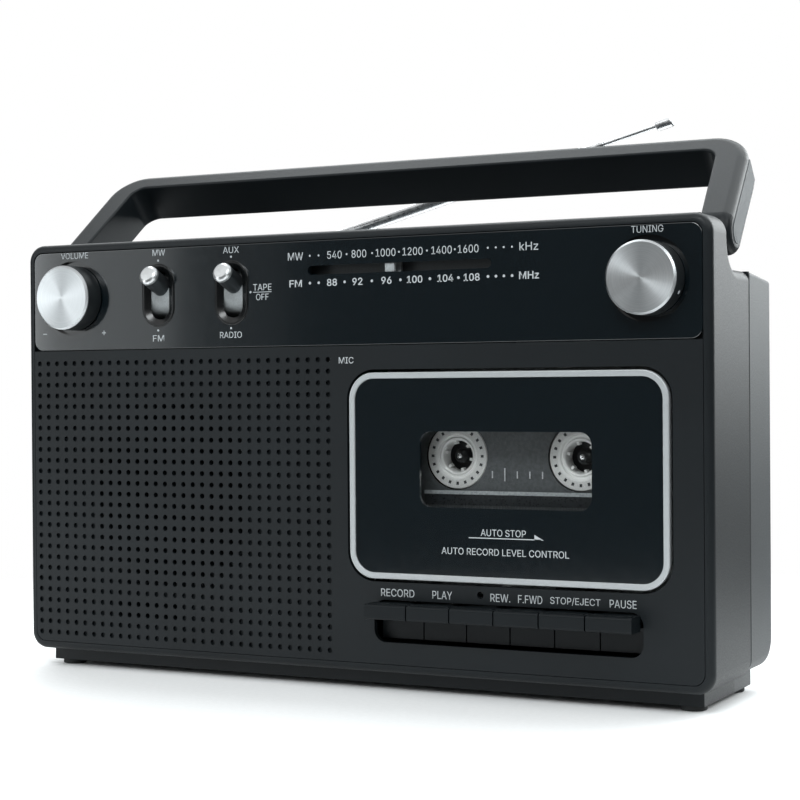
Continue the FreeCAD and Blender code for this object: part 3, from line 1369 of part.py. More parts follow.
def antenna_tube(index):
    """One of the aerial's three tubes."""
    piece = aerial_piece("antenna_tube_%d" % (index + 1))
    outer = tube_size(index)
    inner = outer - S["tube_wall"]
    end = tube_reach(index)
    if index == 0:
        start = S["knuckle_radius"] + 4
        half = S["knuckle_thick"] / 2
        knuckle = S["knuckle_radius"]
        piece.add("Y", -half, half, Box(0, start + 1, -1.9, 1.9))
        piece.add("Y", -half, half, Disc(0, 0, knuckle))
        piece.spin("X", (0, 0), (0, start), (outer, start), (outer, end), (inner, end),
                   (inner, start + 3), (0, start + 3))
        piece.cut("Y", -half - 1, half + 1, Disc(0, 0, 1.1 + S["running_fit"]))
    else:
        start = S["tube_start"] + (index - 1) * S["aerial_step"]
        piece.spin("X", (0, 0), (inner, start), (outer, start), (outer, end), (inner, end))
    return piece


def antenna_rod():
    """The aerial's inner rod and its tip."""
    piece = aerial_piece("antenna_rod")
    end = S["aerial_end"]
    tip = end - S["aerial_tip_long"]
    r = S["rod_radius"]
    t = S["aerial_tip_radius"]
    start = S["rod_start"]
    piece.spin("X", (0, 0), (0, start), (r, start), (r, tip), (t - 0.3, tip), (t, tip + 0.3),
               (t, end - 0.5), (t - 0.5, end), (0, end))
    return piece


# ---------------------------------------------------------------- build and write

def build():
    """Make every sub-part."""
    front_shell()
    rear_shell()
    front_panel()
    dial_panel()
    dial_pointer()
    feet()
    case_screws()
    for name, x in zip(("volume_knob", "tuning_knob"), knob_places()):
        knob(name, x)
        knob_cap(name + "_cap", x)
    volume_control()
    tuning_shaft()
    tuning_drum()
    tuning_capacitor()
    for name, x in (("band_switch", BAND_SWITCH_X),
                    ("function_switch", FUNCTION_SWITCH_X)):
        switch_lever(name + "_lever", x)
        switch_drum(name + "_drum", x)
    cassette_lid()
    lid_trim_ring()
    lid_window()
    cassette_shell()
    cassette_hub("cassette_hub_left", 0)
    cassette_hub("cassette_hub_right", 1)
    tape_pack()
    for index, name in enumerate(KEY_NAMES):
        transport_key(name, index)
    key_shaft()
    deck_chassis()
    spindle("spindle_left", 0)
    spindle("spindle_right", 1)
    head_bar()
    tape_heads()
    pinch_roller()
    flywheel()
    motor()
    motor_pulley()
    drive_belt()
    speaker_frame()
    speaker_cone()
    microphone()
    circuit_board()
    jack_sockets()
    batteries()
    battery_door()
    mains_inlet()
    mains_transformer()
    handle()
    handle_pins()
    antenna_bracket()
    antenna_swivel()
    for index in range(TUBE_COUNT):
        antenna_tube(index)
    antenna_rod()


def write():
    """Check every object and write each sub-part's file."""
    document.recompute()
    for item in document.Objects:
        faults = [word for word in item.State if word in ("Invalid", "Error")]
        if faults:
            raise RuntimeError("%s is in a bad state: %s" % (item.Label, item.State))
    os.makedirs(PARTS_FOLDER, exist_ok=True)
    for piece in PIECES:
        shape = piece.Shape
        if shape.isNull() or not shape.isValid():
            raise RuntimeError(piece.Label + " has no valid shape")
        shape.exportStep(os.path.join(PARTS_FOLDER, piece.Label + ".step"))
        print("%-20s %d solids %10.1f mm3" % (piece.Label, len(shape.Solids), shape.Volume))
    print(len(PIECES), "parts")


build()
write()
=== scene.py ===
"""The looks of a portable radio cassette player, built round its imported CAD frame.

Lengths in the tables are millimetres. The player faces -Y, with +X to the right and +Z up.
"""

import json
import math

import bmesh
import bpy
from mathutils import Matrix, Vector


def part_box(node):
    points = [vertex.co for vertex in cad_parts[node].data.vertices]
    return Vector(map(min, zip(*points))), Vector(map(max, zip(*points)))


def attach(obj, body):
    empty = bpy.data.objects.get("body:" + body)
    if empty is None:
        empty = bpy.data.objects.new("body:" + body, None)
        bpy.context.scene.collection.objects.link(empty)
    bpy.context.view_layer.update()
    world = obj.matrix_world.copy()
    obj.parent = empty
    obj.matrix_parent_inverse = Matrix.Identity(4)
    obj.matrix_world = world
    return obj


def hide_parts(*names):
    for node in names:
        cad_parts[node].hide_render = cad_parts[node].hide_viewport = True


bl_info = {
    "name": "Cassette player looks",
    "version": (1, 0, 0),
    "blender": (4, 5, 0),
    "location": "View3D > Sidebar > Player",
    "description": "Finishes, lettering and fine pieces for a portable cassette player",
    "category": "Object",
}

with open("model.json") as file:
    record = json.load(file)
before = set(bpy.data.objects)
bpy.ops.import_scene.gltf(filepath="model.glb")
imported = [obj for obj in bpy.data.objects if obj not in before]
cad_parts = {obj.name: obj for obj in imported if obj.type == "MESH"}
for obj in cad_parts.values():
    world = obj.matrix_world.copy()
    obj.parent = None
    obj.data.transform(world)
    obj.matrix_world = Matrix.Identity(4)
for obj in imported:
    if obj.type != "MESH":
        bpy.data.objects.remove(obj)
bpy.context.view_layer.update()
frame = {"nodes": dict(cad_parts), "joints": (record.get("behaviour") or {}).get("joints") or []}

MM = 0.001
KEYS = ("record_key", "play_key", "rewind_key", "fast_forward_key", "stop_eject_key", "pause_key")


def linear(code):
    """An sRGB hex colour as linear red, green, blue and alpha."""
    channels = [int(code[place:place + 2], 16) / 255 for place in (1, 3, 5)]
    return tuple(c / 12.92 if c <= 0.04045 else ((c + 0.055) / 1.055) ** 2.4
                 for c in channels) + (1.0,)


def middle(node):
    """The middle of a CAD node's box."""
    low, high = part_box(node)
    return (low + high) / 2


FACE_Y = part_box("front_panel")[0].y
TABLE_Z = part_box("feet")[0].z
VOLUME = middle("volume_knob_cap")
TUNING = middle("tuning_knob_cap")
POINTER = middle("dial_pointer")
LID = middle("lid_trim_ring")
WINDOW_LOW, WINDOW_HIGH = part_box("lid_window")
CASE_LOW, CASE_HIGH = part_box("front_shell")
CASE_MIDDLE_X = (CASE_LOW.x + CASE_HIGH.x) / 2

CAMERA_PLACE = (0.32754, -0.62080, 0.10883)
CAMERA_TURN, CAMERA_TIP, CAMERA_ROLL = (math.radians(angle) for angle in (27.436, 0.4, -0.417))
LEVER_LEAN = math.radians(24)
LEVER_POLISHED_FROM = 16.9 * MM
HANDLE_LEAN = math.radians(48.9)


def on_face(x, z):
    """A point of the front face, from its places along X and Z in metres."""
    return Vector((x, FACE_Y, z))


# ---------------------------------------------------------------- settings

def colour_setting(name, description, code):
    """A colour that a user can change, with its default as a hex code."""
    return bpy.props.FloatVectorProperty(name=name, description=description, subtype="COLOR",
                                         size=4, min=0.0, max=1.0, default=linear(code))


def length_setting(name, description, default):
    """A length that a user can change, in metres."""
    return bpy.props.FloatProperty(name=name, description=description, unit="LENGTH",
                                   default=default, min=0.0, precision=5)


class PlayerColours(bpy.types.PropertyGroup):
    """Colours of the finishes."""

    case: colour_setting("Case", "Moulded front shell and grille", "#101518")
    rear: colour_setting("Rear", "Moulded rear shell", "#22272A")
    gloss: colour_setting("Gloss panel", "Polished dial panel and lid", "#0A1216")
    ink: colour_setting("Ink", "Screen printed lettering", "#B3B8BB")
    # the handle plate's pale grey is painted light for the light that falls on the handle's sides
    plate: colour_setting("Handle plate", "Inlay on the handle's sides", "#5C6062")
    hub: colour_setting("Tape hub", "Moulded tape hubs", "#E4E6E4")


class PlayerSizes(bpy.types.PropertyGroup):
    """Sizes of the fine pieces."""

    ink_thick: length_setting("Ink thickness", "How far the lettering stands proud", 0.05 * MM)
    bezel: length_setting("Bezel width", "Width of the bead round a switch slot", 0.55 * MM)
    floor_reach: length_setting("Floor reach", "How far the floor shows before it fades", 1.0)
    lens: bpy.props.FloatProperty(name="Lens", description="Focal length of the camera",
                                  subtype="DISTANCE_CAMERA", default=83.356, min=1.0)


# ---------------------------------------------------------------- nodes and materials

def add_node(tree, kind, inputs=None, **settings):
    """Add a node with its settings; an input is a value, or an output socket to link."""
    node = tree.nodes.new(kind)
    for name, value in settings.items():
        setattr(node, name, value)
    for key, value in (inputs or {}).items():
        if isinstance(value, bpy.types.NodeSocket):
            tree.links.new(value, node.inputs[key])
        else:
            node.inputs[key].default_value = value
    return node


def new_surface(name, inputs):
    """A material with one principled shader whose sockets hold the inputs."""
    material = bpy.data.materials.new(name)
    material.use_nodes = True
    tree = material.node_tree
    tree.nodes.clear()
    shader = add_node(tree, "ShaderNodeBsdfPrincipled", inputs)
    add_node(tree, "ShaderNodeOutputMaterial", {"Surface": shader.outputs["BSDF"]})
    return material, tree, shader


def noise(tree, size_mm, detail=2.0, stretch=(1, 1, 1)):
    """Noise in the object's own space whose features are size_mm across."""
    place = add_node(tree, "ShaderNodeTexCoord").outputs["Object"]
    placed = add_node(tree, "ShaderNodeMapping", {"Vector": place, "Scale": stretch})
    return add_node(tree, "ShaderNodeTexNoise",
                    {"Vector": placed.outputs["Vector"], "Scale": 1 / (size_mm * MM),
                     "Detail": detail})


def ramp(tree, factor, low, high, start=0.35, end=0.65):
    """A blend between two colours over part of a factor's range."""
    node = add_node(tree, "ShaderNodeValToRGB", {"Fac": factor})
    for element, place, colour in zip(node.color_ramp.elements, (start, end), (low, high)):
        element.position = place
        element.color = colour
    return node.outputs["Color"]


def grey(value):
    """A grey of one linear value."""
    return (value, value, value, 1.0)


def scaled(colour, share):
    """A colour made darker or lighter by a share."""
    return tuple(min(1.0, channel * share) for channel in colour[:3]) + (1.0,)


def roughen(tree, shader, height, depth_mm, strength):
    """Bend the surface's normal by a height."""
    bump = add_node(tree, "ShaderNodeBump",
                    {"Height": height, "Distance": depth_mm * MM, "Strength": strength})
    tree.links.new(bump.outputs["Normal"], shader.inputs["Normal"])


def moulded_abs(name, colour, roughness, grain_mm, strength, shine=0.18):
    """ABS moulded in a spark-eroded tool: an even, fine grain breaks up every highlight."""
    material, tree, shader = new_surface(name, {"IOR": 1.53, "Specular IOR Level": shine})
    # a real grain is about 0.1 mm across and is drawn coarser, so that it shows
    fine = noise(tree, grain_mm, 3.0)
    broad = noise(tree, 45.0, 2.0)
    tree.links.new(ramp(tree, broad.outputs["Fac"], scaled(colour, 0.9), scaled(colour, 1.1)),
                   shader.inputs["Base Color"])
    tree.links.new(ramp(tree, fine.outputs["Fac"], grey(roughness - 0.06),
                        grey(roughness + 0.06)), shader.inputs["Roughness"])
    roughen(tree, shader, fine.outputs["Fac"], 0.05, strength)
    return material


def polished_acrylic(name, colour, roughness):
    """Acrylic polished over black: deep colour under sharp, slightly uneven reflections."""
    material, tree, shader = new_surface(name, {"Base Color": colour, "IOR": 1.49,
                                                "Coat Weight": 1.0, "Coat Roughness": 0.08})
    wave = noise(tree, 22.0, 1.0)
    haze = noise(tree, 3.0, 4.0)
    tree.links.new(ramp(tree, haze.outputs["Fac"], grey(roughness - 0.02),
                        grey(roughness + 0.02)), shader.inputs["Roughness"])
    roughen(tree, shader, wave.outputs["Fac"], 0.12, 0.08)
    return material


def spun_aluminium(name, centre):
    """Aluminium faced on a lathe: fine rings stretch each highlight into a bright fan."""
    material, tree, shader = new_surface(name, {"Metallic": 1.0, "Anisotropic": 0.85})
    turn = add_node(tree, "ShaderNodeTangent", direction_type="RADIAL", axis="Y")
    tree.links.new(turn.outputs["Tangent"], shader.inputs["Tangent"])
    place = add_node(tree, "ShaderNodeTexCoord").outputs["Object"]
    offset = add_node(tree, "ShaderNodeVectorMath", {0: place, 1: centre}, operation="SUBTRACT")
    flat = add_node(tree, "ShaderNodeVectorMath",
                    {0: offset.outputs["Vector"], 1: (1, 0, 1)}, operation="MULTIPLY")
    reach = add_node(tree, "ShaderNodeVectorMath", {0: flat.outputs["Vector"]},
                     operation="LENGTH")
    # turned rings are 0.05 mm apart and are drawn at 0.25 mm, so that they show
    rings = add_node(tree, "ShaderNodeTexNoise",
                     {"W": reach.outputs["Value"], "Scale": 1 / (0.25 * MM), "Detail": 2.0},
                     noise_dimensions="1D")
    tree.links.new(ramp(tree, rings.outputs["Fac"], linear("#BCC0C2"), linear("#CBCED0")),
                   shader.inputs["Base Color"])
    tree.links.new(ramp(tree, rings.outputs["Fac"], grey(0.32), grey(0.36)),
                   shader.inputs["Roughness"])
    # the bump is faint, because the rings are nearly smooth to the touch
    roughen(tree, shader, rings.outputs["Fac"], 0.01, 0.03)
    return material


def two_tone_lever(name, pivot, direction, change):
    """A cast lever: a dark satin shaft, and a bright polished end past a distance in metres."""
    material, tree, shader = new_surface(name, {"Metallic": 0.9})
    place = add_node(tree, "ShaderNodeTexCoord").outputs["Object"]
    offset = add_node(tree, "ShaderNodeVectorMath", {0: place, 1: pivot}, operation="SUBTRACT")
    along = add_node(tree, "ShaderNodeVectorMath",
                     {0: offset.outputs["Vector"], 1: direction}, operation="DOT_PRODUCT")
    end = add_node(tree, "ShaderNodeMath", {0: along.outputs["Value"], 1: change},
                   operation="GREATER_THAN")
    grain = noise(tree, 0.4, 3.0)
    tree.links.new(ramp(tree, end.outputs["Value"], linear("#4E5356"), linear("#D9DCDD"), 0, 1),
                   shader.inputs["Base Color"])
    tree.links.new(ramp(tree, end.outputs["Value"], grey(0.42), grey(0.3), 0, 1),
                   shader.inputs["Roughness"])
    roughen(tree, shader, grain.outputs["Fac"], 0.02, 0.05)
    return material


def metal(name, low, high, roughness, grain_mm=0.4, stretch=(1, 1, 1), strength=0.05):
    """A bare or plated metal: its tint and polish vary a little over the surface."""
    material, tree, shader = new_surface(name, {"Metallic": 1.0})
    # the real grain is under 0.1 mm across and is drawn coarser, so that it shows
    mottle = noise(tree, 4.0, 3.0)
    grain = noise(tree, grain_mm, 3.0, stretch)
    tree.links.new(ramp(tree, mottle.outputs["Fac"], linear(low), linear(high)),
                   shader.inputs["Base Color"])
    tree.links.new(ramp(tree, grain.outputs["Fac"], grey(roughness * 0.8),
                        grey(roughness * 1.2)), shader.inputs["Roughness"])
    roughen(tree, shader, grain.outputs["Fac"], 0.02, strength)
    return material


def plain_moulding(name, low, high, roughness, grain_mm=0.6, strength=0.08, **sockets):
    """A smooth moulded or painted part: two close tones and a faint skin texture."""
    # a real skin is finer than 0.1 mm and is drawn coarser, so that it shows
    inputs = {key.replace("_", " "): value for key, value in sockets.items()}
    material, tree, shader = new_surface(name, inputs)
    skin = noise(tree, grain_mm, 3.0)
    tree.links.new(ramp(tree, skin.outputs["Fac"], low, high), shader.inputs["Base Color"])
    tree.links.new(ramp(tree, skin.outputs["Fac"], grey(roughness * 0.9),
                        grey(roughness * 1.1)), shader.inputs["Roughness"])
    roughen(tree, shader, skin.outputs["Fac"], 0.03, strength)
    return material


def clear_sheet(name, tint, roughness):
    """A clear moulded sheet: mostly see-through, with gloss that grows at a slant."""
    material = bpy.data.materials.new(name)
    material.use_nodes = True
    tree = material.node_tree
    tree.nodes.clear()
    clear = add_node(tree, "ShaderNodeBsdfTransparent", {"Color": tint})
    haze = noise(tree, 6.0, 2.0)
    polish = ramp(tree, haze.outputs["Fac"], grey(roughness), grey(roughness + 0.05))
    gloss = add_node(tree, "ShaderNodeBsdfGlossy", {"Color": grey(0.9), "Roughness": polish})
    edge = add_node(tree, "ShaderNodeFresnel", {"IOR": 1.5})
    back = add_node(tree, "ShaderNodeNewGeometry").outputs["Backfacing"]
    outer = add_node(tree, "ShaderNodeMath", {0: 1.0, 1: back}, operation="SUBTRACT")
    share = add_node(tree, "ShaderNodeMath",
                     {0: edge.outputs["Fac"], 1: outer.outputs["Value"]}, operation="MULTIPLY")
    mix = add_node(tree, "ShaderNodeMixShader", {0: share.outputs["Value"],
                                                 1: clear.outputs["BSDF"],
                                                 2: gloss.outputs["BSDF"]})
    add_node(tree, "ShaderNodeOutputMaterial", {"Surface": mix.outputs["Shader"]})
    return material


def set_finish(piece, material):
    """Give the whole of a piece one material."""
    piece.data.materials.clear()
    piece.data.materials.append(material)
    return piece


# ---------------------------------------------------------------- mesh building

def add_box(bm, low, high):
    """A block between two corners."""
    low, high = Vector(low), Vector(high)
    place = Matrix.Translation((low + high) / 2) @ Matrix.Diagonal((*(high - low), 1))
    bmesh.ops.create_cube(bm, size=1.0, matrix=place)


def add_disc(bm, centre, radius, thick, segments=20):
    """A disc that stands on the plane through its centre, towards -Y."""
    spot = Matrix.Translation(Vector(centre) - Vector((0, thick / 2, 0)))
    bmesh.ops.create_cone(bm, cap_ends=True, segments=segments, radius1=radius, radius2=radius,
                          depth=thick, matrix=spot @ Matrix.Rotation(math.pi / 2, 4, "X"))


def add_prism(bm, points, shift):
    """A prism from a flat outline of points, drawn out by a shift."""
    near = [bm.verts.new(point) for point in points]
    far = [bm.verts.new(Vector(point) + Vector(shift)) for point in points]
    bm.faces.new(near)
    bm.faces.new(list(reversed(far)))
    for index in range(len(points)):
        after = (index + 1) % len(points)
        bm.faces.new((near[after], near[index], far[index], far[after]))


def add_lathe(bm, centre, profile, segments=72):
    """A ring whose closed profile of (radius, y) turns about Y through the centre."""
    rows = []
    for step in range(segments):
        turn = 2 * math.pi * step / segments
        rows.append([bm.verts.new((centre[0] + r * math.cos(turn), y,
                                   centre[2] + r * math.sin(turn))) for r, y in profile])
    for step in range(segments):
        this, following = rows[step], rows[(step + 1) % segments]
        for index in range(len(profile)):
            after = (index + 1) % len(profile)
            bm.faces.new((this[index], this[after], following[after], following[index]))


def add_rim(bm, path, radius, sides=8):
    """A round bead along a closed path of (point, outward direction) on the front face."""
    rows = []
    for point, outward in path:
        row = []
        for side in range(sides):
            turn = 2 * math.pi * side / sides
            step = outward * math.cos(turn) + Vector((0, -1, 0)) * math.sin(turn)
            row.append(bm.verts.new(point + step * radius))
        rows.append(row)
    for index, row in enumerate(rows):
        following = rows[(index + 1) % len(rows)]
        for side in range(sides):
            after = (side + 1) % sides
            bm.faces.new((row[side], row[after], following[after], following[side]))


def rounded_path(centre, half_wide, half_tall, corner, steps=10):
    """Points and outward directions round a rectangle with round corners."""
    path = []
    for quarter in range(4):
        across = 1 if quarter in (0, 3) else -1
        up = 1 if quarter in (0, 1) else -1
        hub = centre + Vector((across * (half_wide - corner), 0, up * (half_tall - corner)))
        for step in range(steps + 1):
            turn = math.pi / 2 * (quarter + step / steps)
            outward = Vector((math.cos(turn), 0, math.sin(turn)))
            path.append((hub + outward * corner, outward))
    return path


def flat_mesh(curve):
    """The mesh of a flat curve or text, which is removed."""
    holder = bpy.data.objects.new("flat", curve)
    bpy.context.scene.collection.objects.link(holder)
    bpy.context.view_layer.update()
    evaluated = holder.evaluated_get(bpy.context.evaluated_depsgraph_get())
    mesh = bpy.data.meshes.new_from_object(evaluated)
    bpy.data.objects.remove(holder)
    return mesh


def stand_up(mesh, low, high, front, back):
    """Stand a flat mesh up, between two (x, z) corners and from front to back along Y."""
    points = [vertex.co.copy() for vertex in mesh.vertices]
    least = [min(point[axis] for point in points) for axis in range(3)]
    most = [max(point[axis] for point in points) for axis in range(3)]
    for vertex, point in zip(mesh.vertices, points):
        share = [(point[axis] - least[axis]) / (most[axis] - least[axis]) for axis in range(3)]
        vertex.co = Vector((low[0] + share[0] * (high[0] - low[0]),
                            back + share[2] * (front - back),
                            low[1] + share[1] * (high[1] - low[1])))


def sans_font():
    """Blender's own interface typeface, a plain sans."""
    folder = bpy.utils.system_resource("DATAFILES", path="fonts")
    return bpy.data.fonts.load(folder + "/Inter.woff2", check_existing=True)


def add_letters(bm, text, centre, wide, tall, proud, heavy=False):
    """Printed letters, fitted to a width and a height round a point of a face."""
    curve = bpy.data.curves.new("letters", "FONT")
    curve.body = text
    curve.font = sans_font()
    curve.extrude = 0.05
    curve.offset = 0.012 if heavy else 0.0
    curve.resolution_u = 4
    mesh = flat_mesh(curve)
    low = (centre.x - wide / 2, centre.z - tall / 2)
    high = (centre.x + wide / 2, centre.z + tall / 2)
    stand_up(mesh, low, high, centre.y - proud, centre.y + proud / 5)
    bm.from_mesh(mesh)


def add_plate(bm, loops, front, back):
    """A plate with holes: closed loops of (x, z), the outline first."""
    curve = bpy.data.curves.new("plate", "CURVE")
    curve.dimensions = "2D"
    curve.fill_mode = "BOTH"
    curve.extrude = 0.5
    for loop in loops:
        spline = curve.splines.new("POLY")
        spline.points.add(len(loop) - 1)
        for point, (x, z) in zip(spline.points, loop):
            point.co = (x, z, 0, 1)
        spline.use_cyclic_u = True
    mesh = flat_mesh(curve)
    outline = loops[0]
    low = (min(x for x, z in outline), min(z for x, z in outline))
    high = (max(x for x, z in outline), max(z for x, z in outline))
    stand_up(mesh, low, high, front, back)
    bm.from_mesh(mesh)


def finish_piece(name, bm, material, body, smooth=False):
    """Turn a bmesh into a named piece that rides on a body."""
    bmesh.ops.remove_doubles(bm, verts=bm.verts, dist=0.002 * MM)
    bmesh.ops.recalc_face_normals(bm, faces=bm.faces)
    mesh = bpy.data.meshes.new(name)
    bm.to_mesh(mesh)
    bm.free()
    piece = bpy.data.objects.new(name, mesh)
    bpy.context.scene.collection.objects.link(piece)
    set_finish(piece, material)
    if smooth:
        mesh.shade_smooth()
        edges = piece.modifiers.new("edges", "EDGE_SPLIT")
        edges.split_angle = math.radians(35)
    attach(piece, body)
    return piece


# ---------------------------------------------------------------- stage

def aim(thing, target):
    """Point a light or a camera at a place."""
    thing.rotation_euler = (Vector(target) - thing.location).to_track_quat("-Z", "Y").to_euler()


def soft_light(name, place, target, wide, tall, radiance):
    """A softbox of a given brightness, which lights but isn't seen."""
    data = bpy.data.lights.new(name, "AREA")
    data.shape = "RECTANGLE"
    data.size = wide
    data.size_y = tall
    data.energy = radiance * math.pi * wide * tall
    data.color = (0.94, 0.985, 1.0)
    light = bpy.data.objects.new(name, data)
    bpy.context.scene.collection.objects.link(light)
    light.location = place
    light.visible_camera = False
    aim(light, target)
    return light


def white_room():
    """A white backdrop, with a dimmer room behind the camera for the gloss to reflect."""
    world = bpy.data.worlds.new("studio")
    world.use_nodes = True
    tree = world.node_tree
    tree.nodes.clear()
    ray = add_node(tree, "ShaderNodeTexCoord").outputs["Generated"]
    height = add_node(tree, "ShaderNodeSeparateXYZ", {"Vector": ray})
    side = ramp(tree, height.outputs["Z"], grey(0.05), grey(0.7), 0.12, 0.4)
    room = add_node(tree, "ShaderNodeBackground", {"Color": side, "Strength": 1.0})
    white = add_node(tree, "ShaderNodeBackground", {"Color": grey(1.0), "Strength": 1.0})
    seen = add_node(tree, "ShaderNodeLightPath").outputs["Is Camera Ray"]
    mix = add_node(tree, "ShaderNodeMixShader", {0: seen, 1: room.outputs["Background"],
                                                 2: white.outputs["Background"]})
    add_node(tree, "ShaderNodeOutputWorld", {"Surface": mix.outputs["Shader"]})
    bpy.context.scene.world = world


def floor_finish(reach):
    """Matt white paper that fades out far from the player."""
    material, tree, shader = new_surface("matt_white_paper", {"Roughness": 0.6})
    fibre = noise(tree, 2.0, 3.0)
    tree.links.new(ramp(tree, fibre.outputs["Fac"], linear("#F4F5F5"), linear("#F8F9F9")),
                   shader.inputs["Base Color"])
    place = add_node(tree, "ShaderNodeTexCoord").outputs["Object"]
    far = add_node(tree, "ShaderNodeVectorMath", {0: place}, operation="LENGTH")
    share = add_node(tree, "ShaderNodeMath", {0: far.outputs["Value"], 1: reach},
                     operation="DIVIDE")
    fade = ramp(tree, share.outputs["Value"], grey(1.0), grey(0.0), 0.22, 0.42)
    tree.links.new(fade, shader.inputs["Alpha"])
    return material


class PLAYER_OT_stage(bpy.types.Operator):
    """Make the camera, the pale floor, the white room and the softboxes"""

    bl_idname = "player.stage"
    bl_label = "Stage"

    def execute(self, context):
        scene = context.scene
        sizes = scene.player_sizes
        scene.view_settings.view_transform = "Standard"
        data = bpy.data.cameras.new("camera")
        data.lens = sizes.lens
        data.clip_start = 0.01
        camera = bpy.data.objects.new("camera", data)
        scene.collection.objects.link(camera)
        ahead = Vector((-math.sin(CAMERA_TURN) * math.cos(CAMERA_TIP),
                        math.cos(CAMERA_TURN) * math.cos(CAMERA_TIP), -math.sin(CAMERA_TIP)))
        right = Vector((math.cos(CAMERA_TURN), math.sin(CAMERA_TURN), 0))
        up = right.cross(ahead)
        level = right * math.cos(CAMERA_ROLL) + up * math.sin(CAMERA_ROLL)
        upright = up * math.cos(CAMERA_ROLL) - right * math.sin(CAMERA_ROLL)
        camera.matrix_world = Matrix((level, upright, -ahead)).transposed().to_4x4()
        camera.location = CAMERA_PLACE
        scene.camera = camera
        bm = bmesh.new()
        bmesh.ops.create_circle(bm, cap_ends=True, segments=96, radius=sizes.floor_reach)
        mesh = bpy.data.meshes.new("floor")
        bm.to_mesh(mesh)
        bm.free()
        floor = bpy.data.objects.new("floor", mesh)
        scene.collection.objects.link(floor)
        floor.location = (0, 0, TABLE_Z)
        set_finish(floor, floor_finish(sizes.floor_reach))
        white_room()
        heart = (0, 0, 0.1)
        # name, place, width, height and brightness, in metres
        for name, place, wide, tall, radiance in (
                ("top_softbox", (0.0, 0.75, 1.5), 2.4, 1.2, 3.6),
                ("front_top_softbox", (0.1, -1.1, 1.5), 1.6, 0.5, 0.9),
                ("right_back_softbox", (0.66, 1.4, 0.62), 1.0, 1.0, 6.0),
                ("left_back_softbox", (-1.1, 1.1, 0.5), 1.0, 1.2, 1.3),
                ("right_strip", (1.2, -0.5, 0.95), 0.6, 0.7, 4.0),
                ("front_key", (0.2, -1.15, 1.1), 0.7, 0.5, 10.0)):
            soft_light(name, place, heart, wide, tall, radiance)
        # four narrow boxes on an arc about the gloss panel dim towards the right, so that
        # the panel's reflection fades out
        arc_x, arc_y, arc_radius = -0.08, -0.04, 1.5
        for x, radiance in ((-1.23, 5.0), (-1.11, 2.9), (-0.99, 0.9), (-0.88, 0.12)):
            y = arc_y - math.sqrt(arc_radius ** 2 - (x - arc_x) ** 2)
            soft_light("left_front_box_%d" % (-100 * x), (x, y, 0.3), heart, 0.17, 1.3, radiance)
        return {"FINISHED"}


# ---------------------------------------------------------------- finishes of the CAD nodes

def joint_place(name):
    """Where a joint sits, in metres."""
    return Vector(next(j for j in frame["joints"] if j["name"] == name)["pos_m"])


def lever(switch):
    """The finish of one switch's lever, which points forwards and up."""
    return two_tone_lever("cast_zinc_" + switch, joint_place(switch + "_tilt"),
                          (0, -math.cos(LEVER_LEAN), math.sin(LEVER_LEAN)),
                          LEVER_POLISHED_FROM)


